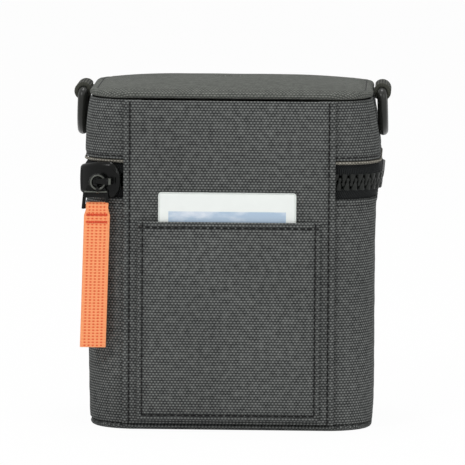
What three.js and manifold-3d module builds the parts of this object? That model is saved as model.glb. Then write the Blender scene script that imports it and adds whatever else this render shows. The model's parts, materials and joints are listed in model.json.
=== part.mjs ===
// Hard-sided zipped case for a small instant camera, with a lid that opens on its back panel.
// Millimetres, +Z up. The origin is the middle of the flat underside. The back panel, with the
// film pocket and the hinge, faces -Y; the zip runs round the other three sides.
import * as THREE from 'three';
import { mergeVertices } from 'three/addons/utils/BufferGeometryUtils.js';
import Module from 'manifold-3d';

const wasm = await Module();
wasm.setup();

// Plan outline of the walls, a rounded rectangle measured on the outer canvas at mid height
const CASE_WIDTH = 116;
const CASE_DEPTH = 78;
const CORNER_RADIUS = 18;

// Wall layers, outside to inside, and the gap kept between any two pieces that touch
const CANVAS = 1.0;
const FOAM = 2.4;
const LINING = 0.5;
const TOUCH = 0.2;

// Heights of the seams
const BASE_SEAM = 2.2;
const BODY_TOP = 91.5;
const ZIP_GAP_BELOW = 6.9;
const ZIP_GAP_ABOVE = 6.7;
const LID_BAND_HEIGHT = 25.6;
const ZIP_HEIGHT = BODY_TOP + ZIP_GAP_BELOW;
const LID_BOTTOM = ZIP_HEIGHT + ZIP_GAP_ABOVE;
const TOP_SEAM = LID_BOTTOM + LID_BAND_HEIGHT;
const TOP_EDGE_RISE = 2.2;
const TOP_DOME_RISE = 2.6;

// Rolled edge and dome of the lid: each level as shares of the rise and of the inset it belongs to
const EDGE_SHARES = [[0.6, 0.12], [0.9, 0.45], [1, 0.8]];
const DOME_RING_SHARE = 0.75;
const DOME_LOW_SHARES = [0.5, 0.3];
const DOME_HIGH_SHARES = [0.85, 0.75];
const DOME_RING_RISE_SHARE = 0.95;
const TOP_FOAM_LIP = 1.3;

// Base build-up
const BOARD = 1.2;
const BASE_FOAM = 2.0;
const BASE_ROUND_SHARES = [[0, 1.2], [0.4, 0.3], [1, 0]];

// How far the walls lean and flare at each height, as offsets from the plan outline
const LEAN_AT_BASE = -1.2;
const LEAN_AT_KNEE = -0.3;
const KNEE_HEIGHT = 40;
const PLUMB_HEIGHT = 70;
const FLARE_START_DROP = 6.5;
const FLARE_START = 0.8;
const FLARE_AT_BODY_TOP = 1.3;
const FLARE_AT_ZIP = 3.75;
const FLARE_AT_LID_BOTTOM = 2.2;
const LID_WAIST_RISE = 6.9;
const FLARE_AT_LID_WAIST = 1.5;
const LID_SHOULDER_RISE = 14.9;
const FLARE_AT_LID_SHOULDER = 0.5;
const LEAN_AT_TOP_SEAM = -0.4;

// Back panel, a full-height strip sewn over the ends of the wall bands
const BACK_PANEL_WIDTH = 83.7;
const PANEL_OVERLAP = 5;
const HINGE_MARGIN = 0.3;

// Film pocket on the back panel
const POCKET_WIDTH = 72.3;
const POCKET_TOP = 82.2;
const POCKET_BOTTOM = 3.9;
const POCKET_SIDE_SEAM = 2.2;
const POCKET_BOTTOM_SEAM = 4.0;
const POCKET_DEPTH = 1.1;

// Instant print kept in the pocket
const PRINT_WIDTH = 54;
const PRINT_HEIGHT = 86;
const PRINT_THICKNESS = 0.7;
const PRINT_CORNER = 1.2;
const PRINT_SIDE_SHIFT = -0.7;
const PRINT_CLEARANCE = 0.2;

// Zip
const TAPE = 0.7;
const TAPE_TUCK = 3.5;
const CHAIN_HEIGHT = 6.3;
const TOOTH_PITCH = 3.4;
const TOOTH_LENGTH = 1.5;
const TOOTH_THICKNESS = 2.6;
const TOOTH_HEAD = 1.8;
const CHAIN_CORD = 1.1;
const HEM_TRIM = 1.1;
const CHAIN_END_MARGIN = 3.5;

// Slider
const SLIDER_END_GAP = 1.35;
const SLIDER_LENGTH = 16.6;
const SLIDER_HEIGHT = 12.4;
const SLIDER_TAIL_HEIGHT = 10.4;
const SLIDER_INNER_HEIGHT = 8.8;
const SLIDER_PLATE = 1.2;
const SLIDER_NOSE = 2.8;
const CHAIN_CLEARANCE = 0.3;
const SLOT_DEPTH = 1.9;
const SLOT_INSET = 0.8;
const POST_LENGTH = 2.0;
const POST_HEIGHT = 2.2;

// Bridge on the slider, and the pull that hangs on it
const BRIDGE_BAR = 1.0;
const BRIDGE_HEIGHT = 1.6;
const BRIDGE_ROOT = 2.4;
const BRIDGE_LENGTH = 5.6;
const BRIDGE_LEG = 1.1;
const RING_OUTER = 7.1;
const RING_WIRE = 1.4;
const RING_SET_BACK = 8.15;
const RING_STANDOFF = 2.1;
const RING_DROP = 0.5;
const RING_CLEARANCE = 0.3;
const FRAME_PLATE = 1.0;
const FRAME_SHIFT = 0.9;
const FRAME_TOP_WIDTH = 5.6;
const FRAME_SHOULDER_WIDTH = 9.2;
const FRAME_FOOT_WIDTH = 10.9;
const FRAME_SHOULDER_DROP = 0.9;
const FRAME_SLOT_DROP = 3.3;
const FRAME_FOOT_DROP = 7.7;
const FRAME_LEG = 1.3;
const FRAME_BAR = 1.8;
const EYE_WIDTH = 2.0;
const EYE_WALL = 0.65;
const EYE_CLEARANCE = 0.3;
const EYE_SAG = 0.15;
const STRAP_WIDTH = 10.1;
const STRAP_PINCH_WIDTH = 7.8;
const STRAP_LENGTH = 57.3;
const STRAP_LAYER = 1.1;
const STRAP_LOOP_LENGTH = 4.2;
const STRAP_CLEARANCE = 0.12;
const STRAP_TILT = 1.6 * Math.PI / 180;

// D-rings and the webbing loops that hold them in the top seam
const D_WIRE = 3.4;
const D_INNER_WIDTH = 20.6;
const D_HEIGHT = 19.4;
const D_TILT = 2.2 * Math.PI / 180;
const D_BAR_RISE = 1.0;
const D_BAR_OUT = 2.3;
const LOOP_WIDTH = 20;
const LOOP_WEBBING = 1.2;
const LOOP_CLEARANCE = 0.25;

// Steps used on round stretches
const CORNER_STEPS = 8;
const RING_STEPS = 24;
const WIRE_STEPS = 8;

const OVERRUN = 5;

const DEGREE = Math.PI / 180;
const CENTRE_X = CASE_WIDTH / 2 - CORNER_RADIUS;
const CENTRE_Y = CASE_DEPTH / 2 - CORNER_RADIUS;
const BACK_Y = -CASE_DEPTH / 2;
const D_BAR_HEIGHT = TOP_SEAM + D_BAR_RISE;

// Materials
const finish = (colour, roughness, metalness = 0) => new THREE.MeshStandardMaterial({
  color: new THREE.Color(colour),
  roughness,
  metalness,
});
const canvasFinish = finish('#555756', 0.92);
const topFinish = finish('#5c5e5b', 0.92);
const foamFinish = finish('#2c2d2e', 0.95);
const liningFinish = finish('#1d1e20', 0.8);
const boardFinish = finish('#8b8270', 0.9);
const trimFinish = finish('#8f8d84', 0.9);
const tapeFinish = finish('#1f2122', 0.85);
const toothFinish = finish('#26282a', 0.45);
const enamelFinish = finish('#17191a', 0.3, 0.4);
const blackWebbingFinish = finish('#232526', 0.8);
const orangeWebbingFinish = finish('#f08f61', 0.85);
const printFinish = finish('#eff4f0', 0.35);

const group = new THREE.Group();

function addPiece(name, geometry, material) {
  const mesh = new THREE.Mesh(geometry, material);
  mesh.name = name;
  group.add(mesh);
  return mesh;
}

// Flare of the wall at a height, straight between the named heights
const BULGE_SHARES = [[-0.85, 0.64], [-0.67, 0.87], [-0.5, 0.97], [0, 1], [0.5, 0.97], [0.67, 0.89], [0.85, 0.76]];
const FLARE_TABLE = [
  [0, LEAN_AT_BASE],
  [BASE_SEAM, LEAN_AT_BASE],
  [KNEE_HEIGHT, LEAN_AT_KNEE],
  [PLUMB_HEIGHT, 0],
  [BODY_TOP - FLARE_START_DROP, FLARE_START],
  [BODY_TOP, FLARE_AT_BODY_TOP],
  ...BULGE_SHARES.map(([height, flare]) => [ZIP_HEIGHT + CHAIN_HEIGHT * height, FLARE_AT_ZIP * flare]),
  [LID_BOTTOM, FLARE_AT_LID_BOTTOM],
  [LID_BOTTOM + LID_WAIST_RISE, FLARE_AT_LID_WAIST],
  [LID_BOTTOM + LID_SHOULDER_RISE, FLARE_AT_LID_SHOULDER],
  [TOP_SEAM, LEAN_AT_TOP_SEAM],
];

function flareAt(z) {
  if (z <= FLARE_TABLE[0][0]) return FLARE_TABLE[0][1];
  for (let i = 1; i < FLARE_TABLE.length; i += 1) {
    const [z0, f0] = FLARE_TABLE[i - 1];
    const [z1, f1] = FLARE_TABLE[i];
    if (z <= z1) return f0 + (f1 - f0) * (z - z0) / (z1 - z0);
  }
  return FLARE_TABLE[FLARE_TABLE.length - 1][1];
}

// The back panel without the bulge of the zip
function panelFlareAt(z) {
  if (z <= BODY_TOP || z >= LID_BOTTOM) return flareAt(z);
  const share = (z - BODY_TOP) / (LID_BOTTOM - BODY_TOP);
  return FLARE_AT_BODY_TOP + (FLARE_AT_LID_BOTTOM - FLARE_AT_BODY_TOP) * share;
}

// A station is a place on the plan outline: the centre that its normal starts from, and the normal.
// Angles run clockwise from -90 degrees, the middle of the back, over the left side and the front.
function cornerCentre(quadrant) {
  return [
    [-CENTRE_X, -CENTRE_Y],
    [-CENTRE_X, CENTRE_Y],
    [CENTRE_X, CENTRE_Y],
    [CENTRE_X, -CENTRE_Y],
  ][(quadrant + 4) % 4];
}

function stationsBetween(from, to, steps = CORNER_STEPS) {
  const stations = [];
  const quarter = Math.PI / 2;
  const first = Math.floor((from - quarter) / quarter + 1e-9);
  const last = Math.ceil((to - quarter) / quarter - 1e-9) - 1;
  for (let quadrant = first; quadrant <= last; quadrant += 1) {
    const start = Math.max(from, quarter + quadrant * quarter);
    const end = Math.min(to, quarter * 2 + quadrant * quarter);
    const count = Math.max(1, Math.round(steps * (end - start) / quarter));
    const [cx, cy] = cornerCentre(quadrant);
    for (let i = 0; i <= count; i += 1) {
      const angle = -(start + (end - start) * i / count);
      stations.push({ cx, cy, nx: Math.cos(angle), ny: Math.sin(angle) });
    }
  }
  return stations;
}

// How far round its corner a place on the back lies, none where it is on the flat
function backAngle(x) {
  return x > CENTRE_X ? Math.asin((x - CENTRE_X) / CORNER_RADIUS) : 0;
}

// The end station of a wall that stops on the flat of the back, and none where it stops on the corner
function flatEnd(x, side) {
  return x < CENTRE_X ? [{ cx: side * x, cy: -CENTRE_Y, nx: 0, ny: -1 }] : [];
}

// A point of the wall at a station, for a flare and a depth inward from the outer surface.
// The back stays upright, so there the flare only moves the corner sideways.
function wallPoint(station, flare, depth) {
  const { cx, cy, nx, ny } = station;
  if (ny < -1e-9) {
    const reach = CORNER_RADIUS - depth;
    return [cx * (1 + flare / CENTRE_X) + nx * reach, cy + ny * reach];
  }
  const reach = CORNER_RADIUS + flare - depth;
  return [cx + nx * reach, cy + ny * reach];
}

function geometryFrom(positions, triangles) {
  const geometry = new THREE.BufferGeometry();
  geometry.setAttribute('position', new THREE.Float32BufferAttribute(positions, 3));
  geometry.setIndex(triangles);
  return geometry;
}

// A wall swept along stations. Its levels are [z, outer depth, inner depth, flare], from the bottom
// up, with the flare looked up where it isn't given.
function sweep(stations, levels, closed = false) {
  const positions = [];
  const triangles = [];
  const size = levels.length * 2;
  stations.forEach((station) => {
    levels.forEach(([z, outer, inner, flare = flareAt(z)]) => {
      const [outX, outY] = wallPoint(station, flare, outer);
      const [inX, inY] = wallPoint(station, flare, inner);
      positions.push(outX, outY, z, inX, inY, z);
    });
  });
  const quad = (p, q, r, s) => triangles.push(p, q, r, p, r, s);
  const rings = stations.length;
  const spans = closed ? rings : rings - 1;
  const top = size - 2;
  for (let i = 0; i < spans; i += 1) {
    const here = i * size;
    const next = ((i + 1) % rings) * size;
    for (let level = 0; level < top; level += 2) {
      quad(here + level, next + level, next + level + 2, here + level + 2);
      quad(here + level + 3, next + level + 3, next + level + 1, here + level + 1);
    }
    quad(here + 1, next + 1, next, here);
    quad(here + top, next + top, next + top + 1, here + top + 1);
  }
  if (!closed) {
    const end = (rings - 1) * size;
    for (let level = 0; level < top; level += 2) {
      quad(level, level + 2, level + 3, level + 1);
      quad(end + level + 1, end + level + 3, end + level + 2, end + level);
    }
  }
  return pointingOut(geometryFrom(positions, triangles));
}

// Turns a closed geometry's faces outward if they point inward
function pointingOut(geometry) {
  const index = geometry.index.array;
  const p = geometry.attributes.position.array;
  let volume = 0;
  for (let i = 0; i < index.length; i += 3) {
    const [a, b, c] = [index[i] * 3, index[i + 1] * 3, index[i + 2] * 3];
    volume += p[a] * (p[b + 1] * p[c + 2] - p[b + 2] * p[c + 1])
      - p[a + 1] * (p[b] * p[c + 2] - p[b + 2] * p[c])
      + p[a + 2] * (p[b] * p[c + 1] - p[b + 1] * p[c]);
  }
  if (volume < 0) {
    for (let i = 0; i < index.length; i += 3) {
      const swap = index[i + 1];
      index[i + 1] = index[i + 2];
      index[i + 2] = swap;
    }
  }
  return geometry;
}

// Levels of a plain wall between two heights, with one wherever the flare changes its slope
function wallLevels(bottom, top, outer, inner, flare = flareAt) {
  const heights = [bottom];
  FLARE_TABLE.forEach(([z]) => {
    if (z > bottom + TOUCH && z < top - TOUCH) heights.push(z);
  });
  heights.push(top);
  return heights.map((z) => [z, outer, inner, flare(z)]);
}

// A closed solid of stacked loops [z, depth, flare], with a middle point that closes each end
function stack(stations, loops, bottomMiddle, topMiddle) {
  const positions = [];
  const triangles = [];
  loops.forEach(([z, depth, flare = flareAt(z)]) => {
    stations.forEach((station) => {
      const [x, y] = wallPoint(station, flare, depth);
      positions.push(x, y, z);
    });
  });
  const size = stations.length;
  for (let i = 0; i + 1 < loops.length; i += 1) {
    for (let j = 0; j < size; j += 1) {
      const k = (j + 1) % size;
      const [here, next] = [i * size, (i + 1) * size];
      triangles.push(here + j, next + k, here + k, here + j, next + j, next + k);
    }
  }
  const bottom = positions.length / 3;
  positions.push(0, 0, bottomMiddle, 0, 0, topMiddle);
  const upper = (loops.length - 1) * size;
  for (let j = 0; j < size; j += 1) {
    const k = (j + 1) % size;
    triangles.push(bottom, j, k, bottom + 1, upper + k, upper + j);
  }
  return pointingOut(geometryFrom(positions, triangles));
}

// Solids for cutting and joining
function solidOf(geometry) {
  const bare = geometry.clone();
  bare.deleteAttribute('normal');
  bare.deleteAttribute('uv');
  const merged = mergeVertices(bare, 1e-4);
  return new wasm.Manifold(new wasm.Mesh({
    numProp: 3,
    vertProperties: new Float32Array(merged.attributes.position.array),
    triVerts: new Uint32Array(merged.index.array),
  }));
}

function geometryOf(solid) {
  const mesh = solid.getMesh();
  return geometryFrom(Array.from(mesh.vertProperties), Array.from(mesh.triVerts));
}

function boxBetween(low, high) {
  const size = high.map((value, i) => value - low[i]);
  const box = new THREE.BoxGeometry(size[0], size[1], size[2]);
  box.translate(low[0] + size[0] / 2, low[1] + size[1] / 2, low[2] + size[2] / 2);
  return box;
}

// Stations of the named stretches
const FULL_TURN = Math.PI * 2;
const MID_BACK = Math.PI / 2;
const bandTuck = BACK_PANEL_WIDTH / 2 - PANEL_OVERLAP;
const foamTuck = bandTuck - TOUCH * 1.5;
const bandAngle = backAngle(bandTuck);
const foamAngle = backAngle(foamTuck);
const panelAngle = Math.asin((BACK_PANEL_WIDTH / 2 + OVERRUN - CENTRE_X) / CORNER_RADIUS);
const loopStations = stationsBetween(MID_BACK, MID_BACK + FULL_TURN).slice(0, -1);
const bandStations = [
  ...flatEnd(bandTuck, -1),
  ...stationsBetween(MID_BACK + bandAngle, MID_BACK + FULL_TURN - bandAngle),
  ...flatEnd(bandTuck, 1),
];
const panelStations = stationsBetween(MID_BACK - panelAngle, MID_BACK + panelAngle);
const backFoamStations = [
  ...flatEnd(foamTuck, 1),
  ...stationsBetween(MID_BACK - foamAngle, MID_BACK + foamAngle),
  ...flatEnd(foamTuck, -1),
];

// Depths of the layers
const foamOuter = CANVAS + TOUCH;
const foamInner = foamOuter + FOAM;
const liningOuter = foamInner + TOUCH;
const tapeOuter = CANVAS + TOUCH;
const tapeInner = tapeOuter + TAPE;

// Heights of the layers
const baseLiningTop = CANVAS + TOUCH + BOARD + TOUCH + BASE_FOAM + TOUCH + LINING;
const baseFoamBottom = CANVAS + TOUCH + BOARD + TOUCH;
const baseLiningBottom = baseFoamBottom + BASE_FOAM + TOUCH;
const tapeTuckBottom = BODY_TOP - TAPE_TUCK;
const tapeTuckTop = LID_BOTTOM + TAPE_TUCK;
const bandTop = TOP_SEAM - TOUCH;
const topFoamBottom = TOP_SEAM - TOUCH - TOP_FOAM_LIP;
const topLiningBottom = topFoamBottom - TOUCH - LINING;

function buildBase() {
  const rim = [
    ...BASE_ROUND_SHARES.map(([rise, inset]) => [CANVAS * rise, CANVAS * inset]),
    [BASE_SEAM - TOUCH, 0],
    [BASE_SEAM - TOUCH, CANVAS],
    [CANVAS, CANVAS + TOUCH],
  ];
  addPiece('base_canvas', stack(loopStations, rim, 0, CANVAS), canvasFinish);
  const boardEdge = CANVAS + TOUCH * 2;
  addPiece('base_board', stack(loopStations, [
    [CANVAS + TOUCH, boardEdge],
    [CANVAS + TOUCH + BOARD, boardEdge],
  ], CANVAS + TOUCH, CANVAS + TOUCH + BOARD), boardFinish);
  addPiece('base_foam', stack(loopStations, [
    [baseFoamBottom, foamInner + TOUCH],
    [baseFoamBottom + BASE_FOAM, foamInner + TOUCH],
  ], baseFoamBottom, baseFoamBottom + BASE_FOAM), foamFinish);
  addPiece('base_lining', stack(loopStations, [
    [baseLiningBottom, foamInner + TOUCH],
    [baseLiningTop, foamInner + TOUCH],
  ], baseLiningBottom, baseLiningTop), liningFinish);
}

// Foam levels, thinner along the margin where the zip tape is sewn in beside the foam
function foamLevels(bottom, top, marginEdge) {
  const margin = tapeInner + TOUCH;
  const towardZip = marginEdge < ZIP_HEIGHT ? 1 : -1;
  const inMargin = (z) => (z - marginEdge) * towardZip >= 0;
  const plain = wallLevels(bottom, top, foamOuter, foamInner)
    .filter(([z]) => z === bottom || z === top || Math.abs(z - marginEdge) > TOUCH * 2);
  const stepEdge = marginEdge - towardZip * TOUCH;
  const levels = plain.map(([z, outer, inner, flare]) => [z, inMargin(z) ? margin : outer, inner, flare]);
  levels.push([marginEdge, margin, foamInner, flareAt(marginEdge)]);
  levels.push([stepEdge, foamOuter, foamInner, flareAt(stepEdge)]);
  return levels.sort((one, other) => one[0] - other[0]);
}

function buildBodyWalls() {
  addPiece('body_band_canvas', sweep(
    bandStations,
    wallLevels(BASE_SEAM, BODY_TOP, 0, CANVAS),
  ), canvasFinish);
  const foamFrom = CANVAS + TOUCH + BOARD + TOUCH;
  addPiece('body_band_foam', sweep(
    bandStations,
    foamLevels(foamFrom, BODY_TOP, tapeTuckBottom - TOUCH),
  ), foamFinish);
  addPiece('body_lining', sweep(
    loopStations,
    wallLevels(baseLiningTop + TOUCH, BODY_TOP, liningOuter, liningOuter + LINING),
    true,
  ), liningFinish);
  addPiece('back_foam_lower', sweep(
    backFoamStations,
    wallLevels(foamFrom, BODY_TOP, 0, foamInner),
  ), foamFinish);
}

function buildLidWalls() {
  addPiece('lid_band_canvas', sweep(
    bandStations,
    wallLevels(LID_BOTTOM + HEM_TRIM + TOUCH, bandTop, 0, CANVAS),
  ), canvasFinish);
  addPiece('lid_hem_trim', sweep(
    bandStations,
    wallLevels(LID_BOTTOM, LID_BOTTOM + HEM_TRIM, 0, CANVAS),
  ), trimFinish);
  addPiece('lid_band_foam', sweep(
    bandStations,
    foamLevels(LID_BOTTOM, topFoamBottom - TOUCH, tapeTuckTop + TOUCH),
  ), foamFinish);
  addPiece('lid_lining', sweep(
    loopStations,
    wallLevels(LID_BOTTOM, topLiningBottom - TOUCH, liningOuter, liningOuter + LINING),
    true,
  ), liningFinish);
  addPiece('back_foam_upper', sweep(
    backFoamStations,
    wallLevels(LID_BOTTOM, topFoamBottom - TOUCH, 0, foamInner),
  ), foamFinish);
}

const edgeLevels = EDGE_SHARES.map(([rise, inset]) => [TOP_SEAM + TOP_EDGE_RISE * rise, TOP_EDGE_RISE * inset]);

function buildTop() {
  const edgeTop = TOP_SEAM + TOP_EDGE_RISE;
  const crown = edgeTop + TOP_DOME_RISE;
  const shoulder = edgeLevels[edgeLevels.length - 1][1];
  const middleRing = CORNER_RADIUS * DOME_RING_SHARE;
  const low = [edgeTop + TOP_DOME_RISE * DOME_LOW_SHARES[0], shoulder + middleRing * DOME_LOW_SHARES[1]];
  const high = [edgeTop + TOP_DOME_RISE * DOME_HIGH_SHARES[0], middleRing * DOME_HIGH_SHARES[1]];
  const ringHeight = edgeTop + TOP_DOME_RISE * DOME_RING_RISE_SHARE;
  const outer = [
    [TOP_SEAM, CANVAS + TOUCH * 2],
    [TOP_SEAM, 0],
    ...edgeLevels,
    low,
    high,
    [ringHeight, middleRing],
  ];
  const loops = outer.map(([z, depth]) => [z, depth, LEAN_AT_TOP_SEAM]);
  const inner = [
    [ringHeight - CANVAS, middleRing],
    [low[0] - CANVAS, low[1]],
    [edgeTop - CANVAS, shoulder + CANVAS],
    [TOP_SEAM, CANVAS + TOUCH * 2],
  ].map(([z, depth]) => [z, depth, LEAN_AT_TOP_SEAM]);
  const shell = shellOf(loops, inner, crown);
  addPiece('lid_top_canvas', shell, topFinish);
  const under = TOUCH * 2;
  addPiece('lid_top_foam', stack(loopStations, [
    [topFoamBottom, foamOuter, LEAN_AT_TOP_SEAM],
    [TOP_SEAM - TOUCH, foamOuter, LEAN_AT_TOP_SEAM],
    [TOP_SEAM, CANVAS + under * 2, LEAN_AT_TOP_SEAM],
    [edgeTop - CANVAS - under, shoulder + CANVAS + under, LEAN_AT_TOP_SEAM],
    [low[0] - CANVAS - under, low[1], LEAN_AT_TOP_SEAM],
    [ringHeight - CANVAS - under, middleRing, LEAN_AT_TOP_SEAM],
  ], topFoamBottom, crown - CANVAS - under), foamFinish);
  addPiece('lid_top_lining', stack(loopStations, [
    [topLiningBottom, foamInner + TOUCH, LEAN_AT_TOP_SEAM],
    [topLiningBottom + LINING, foamInner + TOUCH, LEAN_AT_TOP_SEAM],
  ], topLiningBottom, topLiningBottom + LINING), liningFinish);
}

// A domed shell: outer loops from the rim up, a crown point, and inner loops back down to the rim
function shellOf(outerLoops, innerLoops, crown) {
  const positions = [];
  const triangles = [];
  const size = loopStations.length;
  const loops = [...outerLoops, ...innerLoops.slice(0, -1)];
  loops.forEach(([z, depth, flare]) => {
    loopStations.forEach((station) => {
      const [x, y] = wallPoint(station, flare, depth);
      positions.push(x, y, z);
    });
  });
  const join = (from, to) => {
    for (let j = 0; j < size; j += 1) {
      const k = (j + 1) % size;
      const [here, next] = [from * size, to * size];
      triangles.push(here + j, next + k, here + k, here + j, next + j, next + k);
    }
  };
  const topLoop = outerLoops.length - 1;
  for (let i = 0; i < topLoop; i += 1) join(i, i + 1);
  for (let i = topLoop + 1; i < loops.length - 1; i += 1) join(i, i + 1);
  join(loops.length - 1, 0);
  const middle = positions.length / 3;
  positions.push(0, 0, crown, 0, 0, crown - CANVAS);
  for (let j = 0; j < size; j += 1) {
    const k = (j + 1) % size;
    triangles.push(middle, topLoop * size + k, topLoop * size + j);
    triangles.push(middle + 1, (topLoop + 1) * size + j, (topLoop + 1) * size + k);
  }
  return pointingOut(geometryFrom(positions, triangles));
}

// Back panel: one strip of canvas in three stretches, the middle one being the hinge
function panelPiece(bottom, top) {
  const levels = wallLevels(bottom, top, -TOUCH - CANVAS, -TOUCH, panelFlareAt);
  const strip = solidOf(sweep(panelStations, levels));
  const side = BACK_PANEL_WIDTH / 2;
  const window = solidOf(boxBetween([-side, -CASE_DEPTH, bottom - OVERRUN], [side, 0, top + OVERRUN]));
  return geometryOf(strip.intersect(window));
}

const hingeBottom = BODY_TOP + HINGE_MARGIN;
const hingeTop = LID_BOTTOM - HINGE_MARGIN;

function buildBackPanel() {
  addPiece('back_panel_lower', panelPiece(BASE_SEAM, BODY_TOP), canvasFinish);
  addPiece('back_panel_hinge', panelPiece(hingeBottom, hingeTop), canvasFinish);
  addPiece('back_panel_upper', panelPiece(LID_BOTTOM, bandTop), canvasFinish);
  const half = CENTRE_X;
  const liningBox = boxBetween(
    [-half, BACK_Y + TOUCH, hingeBottom],
    [half, BACK_Y + TOUCH + LINING, hingeTop],
  );
  addPiece('hinge_lining', liningBox, liningFinish);
}

// Film pocket, a face of canvas held off the panel by the turned-in margin round its sides and foot,
// open at its top, and the print in it
const pocketFace = BACK_Y - TOUCH - CANVAS - TOUCH;
const pocketFloor = POCKET_BOTTOM + POCKET_BOTTOM_SEAM;

function buildPocket() {
  const half = POCKET_WIDTH / 2;
  addPiece('film_pocket', boxBetween(
    [-half, pocketFace - POCKET_DEPTH - CANVAS, POCKET_BOTTOM],
    [half, pocketFace - POCKET_DEPTH, POCKET_TOP],
  ), canvasFinish);
  const margin = solidOf(boxBetween(
    [-half, pocketFace - POCKET_DEPTH + TOUCH, POCKET_BOTTOM],
    [half, pocketFace, POCKET_TOP],
  ));
  const room = solidOf(boxBetween(
    [-half + POCKET_SIDE_SEAM, pocketFace - OVERRUN, pocketFloor],
    [half - POCKET_SIDE_SEAM, pocketFace + OVERRUN, POCKET_TOP + OVERRUN],
  ));
  addPiece('film_pocket_margin', geometryOf(margin.subtract(room)), canvasFinish);
}

function buildPrint() {
  const half = PRINT_WIDTH / 2;
  const shape = new THREE.Shape();
  const corner = PRINT_CORNER;
  shape.moveTo(-half + corner, 0);
  shape.lineTo(half - corner, 0);
  shape.absarc(half - corner, corner, corner, -Math.PI / 2, 0, false);
  shape.lineTo(half, PRINT_HEIGHT - corner);
  shape.absarc(half - corner, PRINT_HEIGHT - corner, corner, 0, Math.PI / 2, false);
  shape.lineTo(-half + corner, PRINT_HEIGHT);
  shape.absarc(-half + corner, PRINT_HEIGHT - corner, corner, Math.PI / 2, Math.PI, false);
  shape.lineTo(-half, corner);
  shape.absarc(-half + corner, corner, corner, Math.PI, Math.PI * 1.5, false);
  const card = new THREE.ExtrudeGeometry(shape, {
    depth: PRINT_THICKNESS,
    bevelEnabled: false,
    curveSegments: 4,
  });
  card.rotateX(Math.PI / 2);
  card.translate(PRINT_SIDE_SHIFT, pocketFace - PRINT_CLEARANCE, pocketFloor + PRINT_CLEARANCE);
  addPiece('instant_print', card, printFinish);
}

// Zip walk: places along the chain by distance, from the back panel's left edge round the front
const chainDepth = tapeOuter + TAPE / 2;
const sliderCentreX = -(CENTRE_X + FLARE_AT_ZIP);
const backReach = CORNER_RADIUS - chainDepth;
const frontReach = CORNER_RADIUS + FLARE_AT_ZIP - chainDepth;
const chainStartX = BACK_PANEL_WIDTH / 2 + CHAIN_CLEARANCE;
const chainPastFlat = chainStartX + sliderCentreX;
const chainStartFlat = Math.max(0, -chainPastFlat);
const chainStartAngle = Math.asin(Math.max(0, chainPastFlat) / (backReach - TOOTH_THICKNESS / 2));
const chainStretches = [
  { length: chainStartFlat, back: -1 },
  { length: (Math.PI / 2 - chainStartAngle) * backReach, from: MID_BACK + chainStartAngle, to: Math.PI },
  { length: CENTRE_Y * 2, flat: Math.PI, move: [0, 1] },
  { length: Math.PI / 2 * frontReach, from: Math.PI, to: Math.PI * 1.5 },
  { length: CENTRE_X * 2, flat: Math.PI * 1.5, move: [1, 0] },
  { length: Math.PI / 2 * frontReach, from: Math.PI * 1.5, to: FULL_TURN },
  { length: CENTRE_Y * 2, flat: FULL_TURN, move: [0, -1] },
  { length: (Math.PI / 2 - chainStartAngle) * backReach, from: FULL_TURN, to: FULL_TURN + MID_BACK - chainStartAngle },
  { length: chainStartFlat, back: 1 },
];
const chainLength = chainStretches.reduce((sum, stretch) => sum + stretch.length, 0);

function stationAt(distance) {
  let left = distance;
  for (const stretch of chainStretches) {
    const last = stretch === chainStretches[chainStretches.length - 1];
    if (left <= stretch.length && stretch.length > 0 || last) {
      if (stretch.back) {
        const fromEdge = stretch.back < 0 ? left : stretch.length - left;
        const cx = (chainStartX + fromEdge) / (1 + FLARE_AT_ZIP / CENTRE_X);
        return { cx: stretch.back * cx, cy: -CENTRE_Y, nx: 0, ny: -1 };
      }
      const share = left / stretch.length;
      if (stretch.move) {
        const angle = -stretch.flat;
        const [mx, my] = stretch.move;
        const along = (share * 2 - 1);
        const cx = mx === 0 ? Math.sign(Math.cos(angle)) * CENTRE_X : mx * along * CENTRE_X;
        const cy = my === 0 ? CENTRE_Y : my * along * CENTRE_Y;
        return { cx, cy, nx: Math.cos(angle), ny: my === 0 ? 1 : 0 };
      }
      const turn = stretch.from + (stretch.to - stretch.from) * share;
      const quadrant = Math.floor((turn - MID_BACK) / MID_BACK - 1e-9);
      const [cx, cy] = cornerCentre(quadrant);
      return { cx, cy, nx: Math.cos(-turn), ny: Math.sin(-turn) };
    }
    left -= stretch.length;
  }
  return null;
}

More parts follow.
